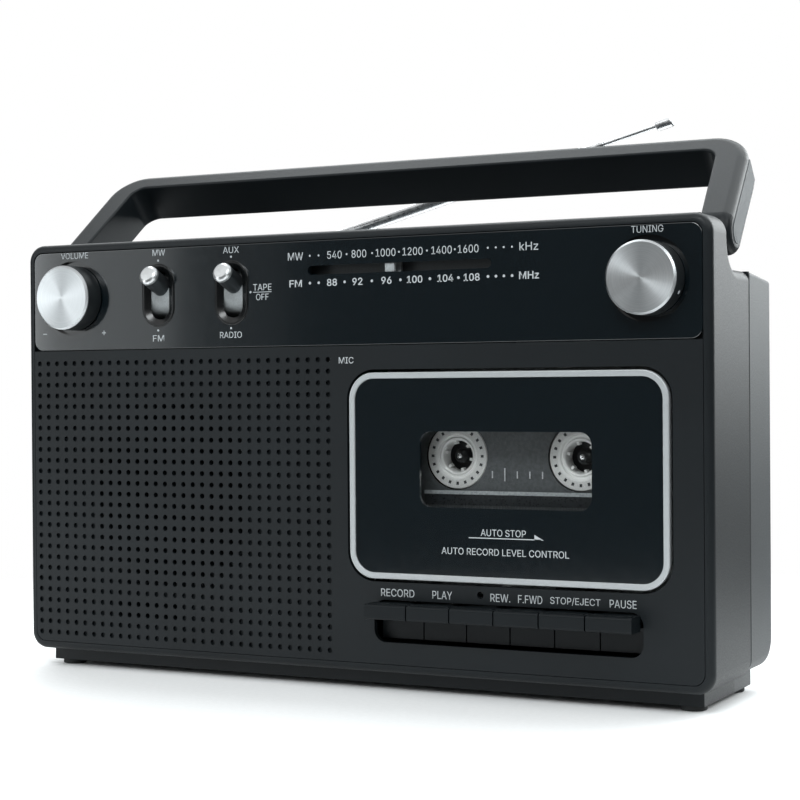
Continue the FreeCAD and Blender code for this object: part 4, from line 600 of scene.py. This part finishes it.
class PLAYER_OT_finishes(bpy.types.Operator):
    """Give every CAD piece its material"""

    bl_idname = "player.finishes"
    bl_label = "Finishes"

    def execute(self, context):
        colours = context.scene.player_colours
        case, rear = tuple(colours.case), tuple(colours.rear)
        groups = {
            # spark-eroded grain: the case is nearly black and its edges glow softly
            moulded_abs("grained_black_abs", case, 0.46, 0.45, 0.35, 0.22):
                ["front_shell", "front_panel", "antenna_bracket"],
            # the rear takes more grain and more light, so it reads as dark grey
            moulded_abs("grained_grey_abs", rear, 0.5, 0.5, 0.4, 0.4):
                ["rear_shell", "battery_door"],
            # a finer grain: a soft satin band runs along the handle's bar
            moulded_abs("satin_black_abs_handle", scaled(case, 1.1), 0.42, 0.35, 0.2, 0.2):
                ["handle"],
            # the shallowest grain, worn by fingers: each key's top catches a dull light
            moulded_abs("satin_black_abs_keys", scaled(case, 0.85), 0.36, 0.5, 0.15): list(KEYS),
            # black behind polished acrylic: the dial and the lid mirror the room
            polished_acrylic("polished_black_acrylic", tuple(colours.gloss), 0.13):
                ["dial_panel", "cassette_lid"],
            # smooth black ABS: an even, soft sheen
            plain_moulding("satin_black_abs_knob", linear("#1A1D1F"), linear("#212527"), 0.38):
                ["volume_knob", "tuning_knob", "jack_sockets", "mains_inlet", "spindle_left",
                 "spindle_right"],
            # faced on a lathe: a bright fan turns round each knob's middle
            spun_aluminium("spun_aluminium_volume", VOLUME): ["volume_knob_cap"],
            spun_aluminium("spun_aluminium_tuning", TUNING): ["tuning_knob_cap"],
            # sprayed silver on plastic: pale and even, with no sharp reflection
            plain_moulding("silver_lacquer", linear("#A9AEB0"), linear("#B3B7B9"), 0.4, 0.25, 0.02,
                           Metallic=0.35): ["lid_trim_ring"],
            # die-cast and part polished: dark shaft, bright end
            lever("band_switch"): ["band_switch_lever"],
            lever("function_switch"): ["function_switch_lever"],
            # chrome plate on drawn brass tube: bright, with long clean highlights
            metal("bright_chrome", "#E6E8E9", "#F2F3F4", 0.3, 1.5):
                ["antenna_swivel", "antenna_tube_1", "antenna_tube_2", "antenna_tube_3",
                 "antenna_rod"],
            # pressed steel, zinc plated: a dull, uneven grey shine
            metal("zinc_plated_steel", "#8D9092", "#B0B3B4", 0.38, 0.8, (1, 1, 6), 0.15):
                ["case_screws", "handle_pins", "key_shaft", "deck_chassis", "head_bar",
                 "tape_heads", "motor", "speaker_frame", "microphone", "volume_control",
                 "tuning_capacitor", "mains_transformer"],
            # turned brass: warm yellow and fairly bright
            metal("turned_brass", "#A98746", "#C6A660", 0.3):
                ["tuning_shaft", "flywheel", "motor_pulley"],
            # moulded acetal: waxy, with a broad soft highlight; on the switch drums the pale grey
            # is painted reflection, standing in for the light from above on a dark grey drum
            plain_moulding("grey_acetal_painted_reflection", linear("#8C9193"), linear("#9DA2A4"), 0.42):
                ["dial_pointer", "band_switch_drum", "function_switch_drum"],
            plain_moulding("white_acetal", linear("#D5D8D7"), linear("#E0E2E1"), 0.4):
                ["cassette_hub_left", "cassette_hub_right", "tuning_drum"],
            # moulded rubber: almost black, with no shine
            plain_moulding("moulded_rubber", linear("#121415"), linear("#1C1E1F"), 0.75, 0.5,
                           0.3): ["feet", "pinch_roller", "drive_belt"],
            # pressed black paper: matt and fibrous
            plain_moulding("pressed_paper_cone", linear("#141516"), linear("#202223"), 0.85, 0.7,
                           0.5): ["speaker_cone"],
            # tape wound edge on: deep brown with a smooth sheen
            plain_moulding("wound_tape", linear("#21150F"), linear("#2E1F17"), 0.25, 0.2, 0.1):
                ["tape_pack"],
            # green lacquer over glass cloth: clear colour and a slight gloss
            plain_moulding("green_lacquered_board", linear("#0E3B22"), linear("#16502F"), 0.35,
                           1.6, 0.2): ["circuit_board"],
            # printed sleeve on a steel can: smooth blue-grey
            plain_moulding("painted_cell_sleeve", linear("#343A42"), linear("#3F464F"), 0.33):
                ["batteries"],
            # clear mouldings: seen through from the front, glossy at a slant
            clear_sheet("clear_polycarbonate", grey(0.97), 0.03): ["lid_window"],
            clear_sheet("clear_polystyrene", grey(0.97), 0.08): ["cassette_shell"],
        }
        done = set()
        for material, nodes in groups.items():
            for node in nodes:
                set_finish(frame["nodes"][node], material)
                done.add(node)
        left = sorted(set(frame["nodes"]) - done)
        if left:
            raise RuntimeError("no finish for " + ", ".join(left))
        return {"FINISHED"}


# ---------------------------------------------------------------- lettering

def ink_material():
    """Screen printed ink: flat, bright and a little rough."""
    colour = tuple(bpy.context.scene.player_colours.ink)
    return plain_moulding("screen_printed_ink", scaled(colour, 0.93), colour, 0.55, 0.3, 0.05)


class PLAYER_OT_dial_lettering(bpy.types.Operator):
    """Print the words and numbers of the dial panel"""

    bl_idname = "player.dial_lettering"
    bl_label = "Dial lettering"

    def execute(self, context):
        ink = context.scene.player_sizes.ink_thick
        bm = bmesh.new()

        def word(text, x, z, wide, tall=2.35, heavy=False):
            add_letters(bm, text, on_face(x, z), wide * MM, tall * MM, ink, heavy)

        def dot(x, z, radius=0.42):
            add_disc(bm, on_face(x, z), radius * MM, ink)

        # knobs
        word("VOLUME", VOLUME.x + 0.9 * MM, VOLUME.z + 16.5 * MM, 13.1)
        word("TUNING", TUNING.x, TUNING.z + 16.3 * MM, 11.2)
        for x, bars in ((-13.8, ((0.9, 0.17),)), (14.7, ((0.9, 0.17), (0.17, 0.9)))):
            spot = on_face(VOLUME.x + x * MM, VOLUME.z - 13.7 * MM)
            for wide, tall in bars:
                reach = Vector((wide * MM, 0, tall * MM))
                add_box(bm, spot - reach - Vector((0, ink, 0)), spot + reach)
        # switches: word, shift along X and Z, width, then its dot's shift
        band_x = middle("band_switch_drum").x
        function_x = middle("function_switch_drum").x
        marks = ((band_x, "MW", 0.3, 16.2, 5.7, (0.0, 13.2)),
                 (band_x, "FM", -0.1, -16.3, 5.1, (-0.2, -13.3)),
                 (function_x, "AUX", -0.1, 15.9, 7.0, (-0.1, 13.4)),
                 (function_x, "RADIO", -0.4, -15.6, 9.6, (-0.3, -13.1)),
                 (function_x, "TAPE", 13.4, 1.7, 7.9, (8.3, 0.0)),
                 (function_x, "OFF", 13.4, -1.9, 5.4, (8.3, 0.0)))
        for x, text, across, up, wide, (dot_x, dot_z) in marks:
            word(text, x + across * MM, VOLUME.z + up * MM, wide)
            dot(x + dot_x * MM, VOLUME.z + dot_z * MM)
        rule = on_face(function_x + 13.4 * MM, VOLUME.z - 0.1 * MM)
        reach = Vector((4.0 * MM, 0, 0.11 * MM))
        add_box(bm, rule - reach - Vector((0, ink, 0)), rule + reach)
        # dial scales: height over the pointer, text height, weight, end words, then numbers
        rows = ((5.3, 2.8, False, ("MW", 6.4, "kHz", 7.0),
                 (("540", -0.9), ("800", 9.15), ("1000", 19.95), ("1200", 30.7),
                  ("1400", 42.1), ("1600", 52.4))),
                (-4.6, 2.6, True, ("FM", 5.3, "MHz", 7.4),
                 (("88", -2.0), ("92", 8.45), ("96", 20.2), ("100", 31.45), ("104", 43.5),
                  ("108", 53.65))))
        for up, tall, heavy, (band, band_wide, unit, unit_wide), numbers in rows:
            z = POINTER.z + up * MM
            word(band, CASE_MIDDLE_X - 17.2 * MM, z, band_wide, tall, heavy)
            word(unit, CASE_MIDDLE_X + 75.3 * MM, z, unit_wide, tall, heavy)
            for text, x in numbers:
                digit = 2.0 if heavy else 1.95
                word(text, CASE_MIDDLE_X + x * MM, z, digit * len(text) + 0.15, tall, heavy)
            places = [x for text, x in numbers]
            between = [(a + b) / 2 for a, b in zip(places, places[1:])]
            for x in [-11.2, -7.5, *between, 59.9, 62.9, 65.9, 69.0]:
                dot(CASE_MIDDLE_X + x * MM, z, 0.5 if heavy else 0.36)
        word("MIC", CASE_MIDDLE_X + 3.6 * MM, POINTER.z - 32.8 * MM, 6.0, 2.3)
        finish_piece("dial_lettering", bm, ink_material(), "case")
        return {"FINISHED"}


class PLAYER_OT_key_lettering(bpy.types.Operator):
    """Print the name of each key over it"""

    bl_idname = "player.key_lettering"
    bl_label = "Key lettering"

    def execute(self, context):
        ink = context.scene.player_sizes.ink_thick
        bm = bmesh.new()
        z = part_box("play_key")[1].z + 3.1 * MM
        names = (("record_key", "RECORD", 0.5, 13.3), ("play_key", "PLAY", 1.4, 7.7),
                 ("rewind_key", "REW.", 7.0, 7.5), ("fast_forward_key", "F.FWD", 1.5, 9.0),
                 ("stop_eject_key", "STOP/EJECT", 1.3, 18.2), ("pause_key", "PAUSE", 1.8, 9.5))
        for key, text, across, wide in names:
            x = middle(key).x + across * MM
            add_letters(bm, text, on_face(x, z), wide * MM, 2.75 * MM, ink)
        finish_piece("key_lettering", bm, ink_material(), "case")
        return {"FINISHED"}


class PLAYER_OT_lid_lettering(bpy.types.Operator):
    """Print the two lines and the arrow on the cassette lid"""

    bl_idname = "player.lid_lettering"
    bl_label = "Lid lettering"

    def execute(self, context):
        ink = context.scene.player_sizes.ink_thick
        bm = bmesh.new()
        low = WINDOW_LOW.z
        add_letters(bm, "AUTO STOP", on_face(LID.x - 0.1 * MM, low - 7.2 * MM), 17.0 * MM,
                    2.4 * MM, ink)
        add_letters(bm, "AUTO RECORD LEVEL CONTROL", on_face(LID.x + 0.25 * MM, low - 13.9 * MM),
                    48.0 * MM, 2.4 * MM, ink)
        line = on_face(LID.x + 0.4 * MM, low - 9.1 * MM)
        reach = Vector((13.6 * MM, 0, 0.16 * MM))
        add_box(bm, line - reach - Vector((0, ink, 0)), line + reach)
        tip = line + Vector((14.6 * MM, 0, -0.16 * MM))
        head = [tip, tip + Vector((-3.4 * MM, 0, 0)), tip + Vector((-3.4 * MM, 0, 1.9 * MM))]
        add_prism(bm, head, (0, -ink, 0))
        finish_piece("lid_lettering", bm, ink_material(), "lid")
        return {"FINISHED"}


# ---------------------------------------------------------------- controls

class PLAYER_OT_switch_bezels(bpy.types.Operator):
    """Put a black frame with sloping sides in each switch slot"""

    bl_idname = "player.switch_bezels"
    bl_label = "Switch bezels"

    def execute(self, context):
        bead_radius = context.scene.player_sizes.bezel * 0.5
        # ABS moulded in a polished tool: black, with a thin bright line along each bend
        material = plain_moulding("gloss_black_abs_bezel", linear("#0A0B0C"), linear("#101213"),
                                  0.22)
        # half width, half height and depth of each loop, from the outer edge inwards
        steps = ((6.9, 11.6, 0.1), (6.9, 11.6, -0.28), (6.4, 11.1, -0.28), (5.7, 10.4, 0.25),
                 (4.4, 9.3, 0.9), (4.1, 9.1, 1.1))
        for switch in ("band_switch", "function_switch"):
            centre = on_face(middle(switch + "_drum").x, VOLUME.z)
            bm = bmesh.new()
            rows = []
            for wide, tall, depth in steps:
                path = rounded_path(centre + Vector((0, depth * MM, 0)), wide * MM, tall * MM,
                                    (wide - 0.02) * MM, 12)
                rows.append([bm.verts.new(point) for point, outward in path])
            for row, inner in zip(rows, rows[1:]):
                for index in range(len(row)):
                    after = (index + 1) % len(row)
                    bm.faces.new((row[index], row[after], inner[after], inner[index]))
            border = rounded_path(centre, 7.1 * MM, 11.8 * MM, 7.08 * MM, 12)
            add_rim(bm, border, bead_radius)
            finish_piece(switch + "_bezel", bm, material, "case", True)
        return {"FINISHED"}


class PLAYER_OT_dial_track(bpy.types.Operator):
    """Lay the grey track behind the dial slot"""

    bl_idname = "player.dial_track"
    bl_label = "Dial track"

    def execute(self, context):
        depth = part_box("dial_pointer")[1].y + 0.5 * MM
        bm = bmesh.new()
        reach = Vector((40.0 * MM, 0, 2.6 * MM))
        centre = Vector((CASE_MIDDLE_X + 24.5 * MM, depth, POINTER.z))
        add_box(bm, centre - reach, centre + reach + Vector((0, 0.6 * MM, 0)))
        # matt moulding: a dull grey strip behind the black slot
        material = plain_moulding("dark_grey_track", linear("#34393C"), linear("#3D4346"), 0.5)
        finish_piece("dial_track", bm, material, "case")
        return {"FINISHED"}


class PLAYER_OT_knob_dots(bpy.types.Operator):
    """Set the white pointer dot into the side of each knob"""

    bl_idname = "player.knob_dots"
    bl_label = "Knob dots"

    def execute(self, context):
        material = ink_material()
        from_front, dot_radius, flatness = 4.6 * MM, 0.7 * MM, 0.3
        for body, knob, angle in (("tuning", "tuning_knob", -24), ("volume", "volume_knob", 205)):
            low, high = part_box(knob)
            radius = (high.x - low.x) / 2
            centre = middle(knob)
            turn = math.radians(angle)
            outward = Vector((math.cos(turn), 0, math.sin(turn)))
            spot = centre + outward * radius
            spot.y = low.y + from_front
            bm = bmesh.new()
            place = Matrix.Translation(spot) @ outward.to_track_quat("Z", "Y").to_matrix().to_4x4()
            bmesh.ops.create_uvsphere(bm, u_segments=20, v_segments=10, radius=dot_radius,
                                      matrix=place @ Matrix.Diagonal((1, 1, flatness, 1)))
            finish_piece(knob + "_dot", bm, material, body, True)
        return {"FINISHED"}


# ---------------------------------------------------------------- case

class PLAYER_OT_seam(bpy.types.Operator):
    """Line the seam between the two halves of the case with a dark shadow gap"""

    bl_idname = "player.seam"
    bl_label = "Seam"

    def execute(self, context):
        low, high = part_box("rear_shell")
        # the gap sits below the skin, so that nothing stands proud of the case
        sunk, half, half_thick = 0.12 * MM, 0.42 * MM, 0.02 * MM
        top = high.z
        foot = CASE_LOW.z + 12 * MM
        seam_y = CASE_HIGH.y
        bm = bmesh.new()
        for side in (low.x + sunk, high.x - sunk):
            add_box(bm, (side - half_thick, seam_y - half, foot),
                    (side + half_thick, seam_y + half, top - sunk))
        add_box(bm, (low.x + sunk, seam_y - half, top - sunk - half_thick),
                (high.x - sunk, seam_y + half, top - sunk + half_thick))
        # an open joint between two mouldings: a line with no light in it
        material = plain_moulding("black_shadow_gap", linear("#050606"), linear("#090A0A"), 0.9)
        finish_piece("seam_gap", bm, material, "case")
        return {"FINISHED"}


# ---------------------------------------------------------------- cassette

def circle_loop(x, z, radius, steps=64):
    """A closed loop of points round a centre."""
    turns = [2 * math.pi * step / steps for step in range(steps)]
    return [(x + radius * math.cos(turn), z + radius * math.sin(turn)) for turn in turns]


class PLAYER_OT_tape_hubs(bpy.types.Operator):
    """Model the two tape hubs with their teeth and their dark marks"""

    bl_idname = "player.tape_hubs"
    bl_label = "Tape hubs"

    def execute(self, context):
        colour = tuple(context.scene.player_colours.hub)
        # moulded polystyrene: clean white, with a soft shine on each ridge
        white = plain_moulding("white_polystyrene_hub", scaled(colour, 0.93), colour, 0.35)
        # hot-stamped black foil: short dark dashes that show the hub turning
        dark = plain_moulding("black_hub_mark", linear("#2A2E31"), linear("#35393C"), 0.5)
        # polished steel: one bright point in the middle of each hub
        steel = metal("polished_spindle_tip", "#D0D3D5", "#E2E4E5", 0.2)
        teeth, first_tooth, marks = 6, 14, 20
        tooth_block = Matrix.Diagonal((1.1 * MM, 2.4 * MM, 0.9 * MM, 1))
        tooth_spot = Matrix.Translation((5.0 * MM, 0, 0))
        tooth_depth = 2.2 * MM
        mark_block = Matrix.Diagonal((1.1 * MM, 0.16 * MM, 0.95 * MM, 1))
        mark_spot = Matrix.Translation((9.7 * MM, 0, 0))
        for side in ("left", "right"):
            node = "cassette_hub_" + side
            centre = middle(node)
            low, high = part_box(node)
            front = low.y
            rim = (high.x - low.x) / 2 / MM
            # radius and depth behind the front, in millimetres
            profile = [(rim, 0.3), (rim - 0.3, 0.0), (7.7, 0.0), (7.3, 0.45), (6.9, 0.45),
                       (6.5, 0.0), (5.9, 0.3), (5.5, 1.2), (5.4, 5.6), (rim, 5.6)]
            bm = bmesh.new()
            add_lathe(bm, centre, [(r * MM, front + y * MM) for r, y in profile])
            place = Matrix.Translation((centre.x, front + tooth_depth, centre.z))
            for tooth in range(teeth):
                turn = Matrix.Rotation(math.radians(60 * tooth + first_tooth), 4, "Y")
                bmesh.ops.create_cube(bm, size=1.0,
                                      matrix=place @ turn @ tooth_spot @ tooth_block)
            hub = finish_piece("tape_hub_" + side, bm, white, "hub_" + side,
                               True)
            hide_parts(node)
            bm = bmesh.new()
            place = Matrix.Translation((centre.x, front, centre.z))
            for mark in range(marks):
                turn = Matrix.Rotation(2 * math.pi * mark / marks, 4, "Y")
                bmesh.ops.create_cube(bm, size=1.0, matrix=place @ turn @ mark_spot @ mark_block)
            finish_piece("hub_marks_" + side, bm, dark, "hub_" + side)
            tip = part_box("spindle_" + side)[0].y
            bm = bmesh.new()
            place = Matrix.Translation((centre.x, tip, centre.z))
            bmesh.ops.create_uvsphere(bm, u_segments=20, v_segments=10, radius=1.0 * MM,
                                      matrix=place @ Matrix.Diagonal((1, 0.5, 1, 1)))
            finish_piece("spindle_tip_" + side, bm, steel, "spindle_" + side,
                         True)
        return {"FINISHED"}


class PLAYER_OT_cassette_face(bpy.types.Operator):
    """Model the cassette's slip sheet, its scale ticks and its lower bands"""

    bl_idname = "player.cassette_face"
    bl_label = "Cassette face"

    def execute(self, context):
        low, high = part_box("cassette_hub_left")
        skin_back = low.y - 0.25 * MM
        left, right = middle("cassette_hub_left"), middle("cassette_hub_right")
        # the nose stands proud, so the flat face is found from the hubs
        face = left.y - 4.35 * MM
        centre_x = (left.x + right.x) / 2
        hub_z = left.z
        reach, below, above = 46.0 * MM, 20 * MM, 22 * MM
        outline = [(centre_x - reach, hub_z - below), (centre_x + reach, hub_z - below),
                   (centre_x + reach, hub_z + above), (centre_x - reach, hub_z + above)]
        rim = (high.x - low.x) / 2
        holes = [circle_loop(hub.x, hub.z, rim + 0.3 * MM) for hub in (left, right)]
        bm = bmesh.new()
        add_plate(bm, [outline, *holes], skin_back - 0.12 * MM, skin_back)
        # graphite-coated film: an even dark grey with a faint metallic mottle
        sheet = plain_moulding("graphite_slip_sheet", linear("#3C4143"), linear("#4B5052"), 0.5,
                               1.2)
        finish_piece("slip_sheet", bm, sheet, "lid")
        proud, sunk = 0.08 * MM, 0.02 * MM

        def bar(bm, x0, x1, z0, z1):
            """A bar on the cassette: X from its middle, Z from the window's foot, in mm."""
            add_box(bm, (centre_x + x0 * MM, face - proud, WINDOW_LOW.z + z0 * MM),
                    (centre_x + x1 * MM, face + sunk, WINDOW_LOW.z + z1 * MM))

        # the scale: five ticks, the second of them long
        bm = bmesh.new()
        tick_pitch, tick_shift, tick_half, scale_z = 4.78, 0.35, 0.22, 12.4
        for step in range(-2, 3):
            x = step * tick_pitch + tick_shift
            tall = 2.3 if step == -1 else 1.25
            bar(bm, x - tick_half, x + tick_half, scale_z - tall, scale_z + tall)
        # silver screen print: pale ticks on the dark sheet
        pale = plain_moulding("silver_printed_scale", linear("#9BA0A2"), linear("#B2B7B9"), 0.4)
        finish_piece("cassette_scale", bm, pale, "lid")
        half_wide = 36.0
        bm = bmesh.new()
        bar(bm, -half_wide, half_wide, 5.2, 6.5)
        # painted highlight: light caught in the clear moulding's edge, drawn as one thin bright
        # line
        bright = plain_moulding("painted_edge_highlight", linear("#8E9496"), linear("#A5ABAD"), 0.3)
        finish_piece("cassette_bright_band", bm, bright, "lid")
        bm = bmesh.new()
        bar(bm, -half_wide, half_wide, 1.4, 5.1)
        # smooth black polystyrene: a dark band under the bright line
        dim = plain_moulding("black_cassette_band", linear("#1B1F21"), linear("#24282B"), 0.3)
        finish_piece("cassette_dark_band", bm, dim, "lid")
        bm = bmesh.new()
        ribs, rib_pitch, rib_half = 64, 1.1, 0.3
        for rib in range(ribs):
            x = (rib - (ribs - 1) / 2) * rib_pitch
            bar(bm, x - rib_half, x + rib_half, -1.9, 1.3)
        finish_piece("cassette_ribs", bm, sheet, "lid")
        return {"FINISHED"}


# ---------------------------------------------------------------- handle

class PLAYER_OT_handle_plates(bpy.types.Operator):
    """Inlay a plate in each side of the handle, drawn in a lighter grey as painted light for the
    light that falls on the handle's sides
    """

    bl_idname = "player.handle_plates"
    bl_label = "Handle plates"

    def execute(self, context):
        colour = tuple(context.scene.player_colours.plate)
        # a flat, dull plate, drawn paler than the handle: the pale grey is painted light, standing
        # in for the light that falls on the handle's sides
        material = plain_moulding("grey_inlay_painted_light", scaled(colour, 0.92), colour, 0.55, 0.4,
                                  Specular_IOR_Level=0.12)
        pivot = joint_place("handle_fold")
        along = Vector((0, math.sin(HANDLE_LEAN), math.cos(HANDLE_LEAN)))
        across = Vector((0, math.cos(HANDLE_LEAN), -math.sin(HANDLE_LEAN)))
        half, top, half_thick = 4.5 * MM, 36.0 * MM, 0.22 * MM
        # each side of the handle leans in by taper over its length
        taper, length = 3.6 * MM, 47.4 * MM
        low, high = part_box("handle")
        for side, name in ((-1, "left"), (1, "right")):
            foot = low.x if side < 0 else high.x
            outline = [(half, top), (-half, top)]
            for step in range(13):
                turn = math.pi * (1 + step / 12)
                outline.append((half * math.cos(turn), half * math.sin(turn)))
            bm = bmesh.new()
            points = []
            for y, z in outline:
                inward = taper * max(z, 0) / length
                points.append(Vector((foot - side * inward, 0, 0))
                              + Vector((0, pivot.y, pivot.z)) + across * y + along * z)
            shift = Vector((side * half_thick, 0, 0))
            add_prism(bm, [point - shift for point in points], shift * 2)
            bmesh.ops.bevel(bm, geom=[edge for edge in bm.edges], offset=0.12 * MM, segments=2,
                            affect="EDGES")
            finish_piece("handle_plate_" + name, bm, material, "handle")
        return {"FINISHED"}


# ---------------------------------------------------------------- panel and registration

STEPS = (PLAYER_OT_stage, PLAYER_OT_finishes, PLAYER_OT_dial_lettering,
         PLAYER_OT_key_lettering, PLAYER_OT_lid_lettering, PLAYER_OT_switch_bezels,
         PLAYER_OT_dial_track, PLAYER_OT_knob_dots, PLAYER_OT_seam, PLAYER_OT_tape_hubs,
         PLAYER_OT_cassette_face, PLAYER_OT_handle_plates)


class PLAYER_PT_looks(bpy.types.Panel):
    """The sidebar panel that lists the player's settings and steps"""

    bl_idname = "PLAYER_PT_looks"
    bl_label = "Cassette player"
    bl_space_type = "VIEW_3D"
    bl_region_type = "UI"
    bl_category = "Player"

    def draw(self, context):
        for group in (context.scene.player_colours, context.scene.player_sizes):
            for name in group.__annotations__:
                self.layout.prop(group, name)
        for step in STEPS:
            self.layout.operator(step.bl_idname)


CLASSES = (PlayerColours, PlayerSizes, *STEPS, PLAYER_PT_looks)


def register():
    """Register the classes and hang the settings on the scene."""
    for item in CLASSES:
        bpy.utils.register_class(item)
    bpy.types.Scene.player_colours = bpy.props.PointerProperty(type=PlayerColours)
    bpy.types.Scene.player_sizes = bpy.props.PointerProperty(type=PlayerSizes)


def unregister():
    """Take the settings and the classes away again."""
    del bpy.types.Scene.player_sizes
    del bpy.types.Scene.player_colours
    for item in reversed(CLASSES):
        bpy.utils.unregister_class(item)


def main():
    """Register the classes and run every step."""
    register()
    for step in STEPS:
        group, name = step.bl_idname.split(".")
        getattr(getattr(bpy.ops, group), name)()


if __name__ == "__main__":
    main()
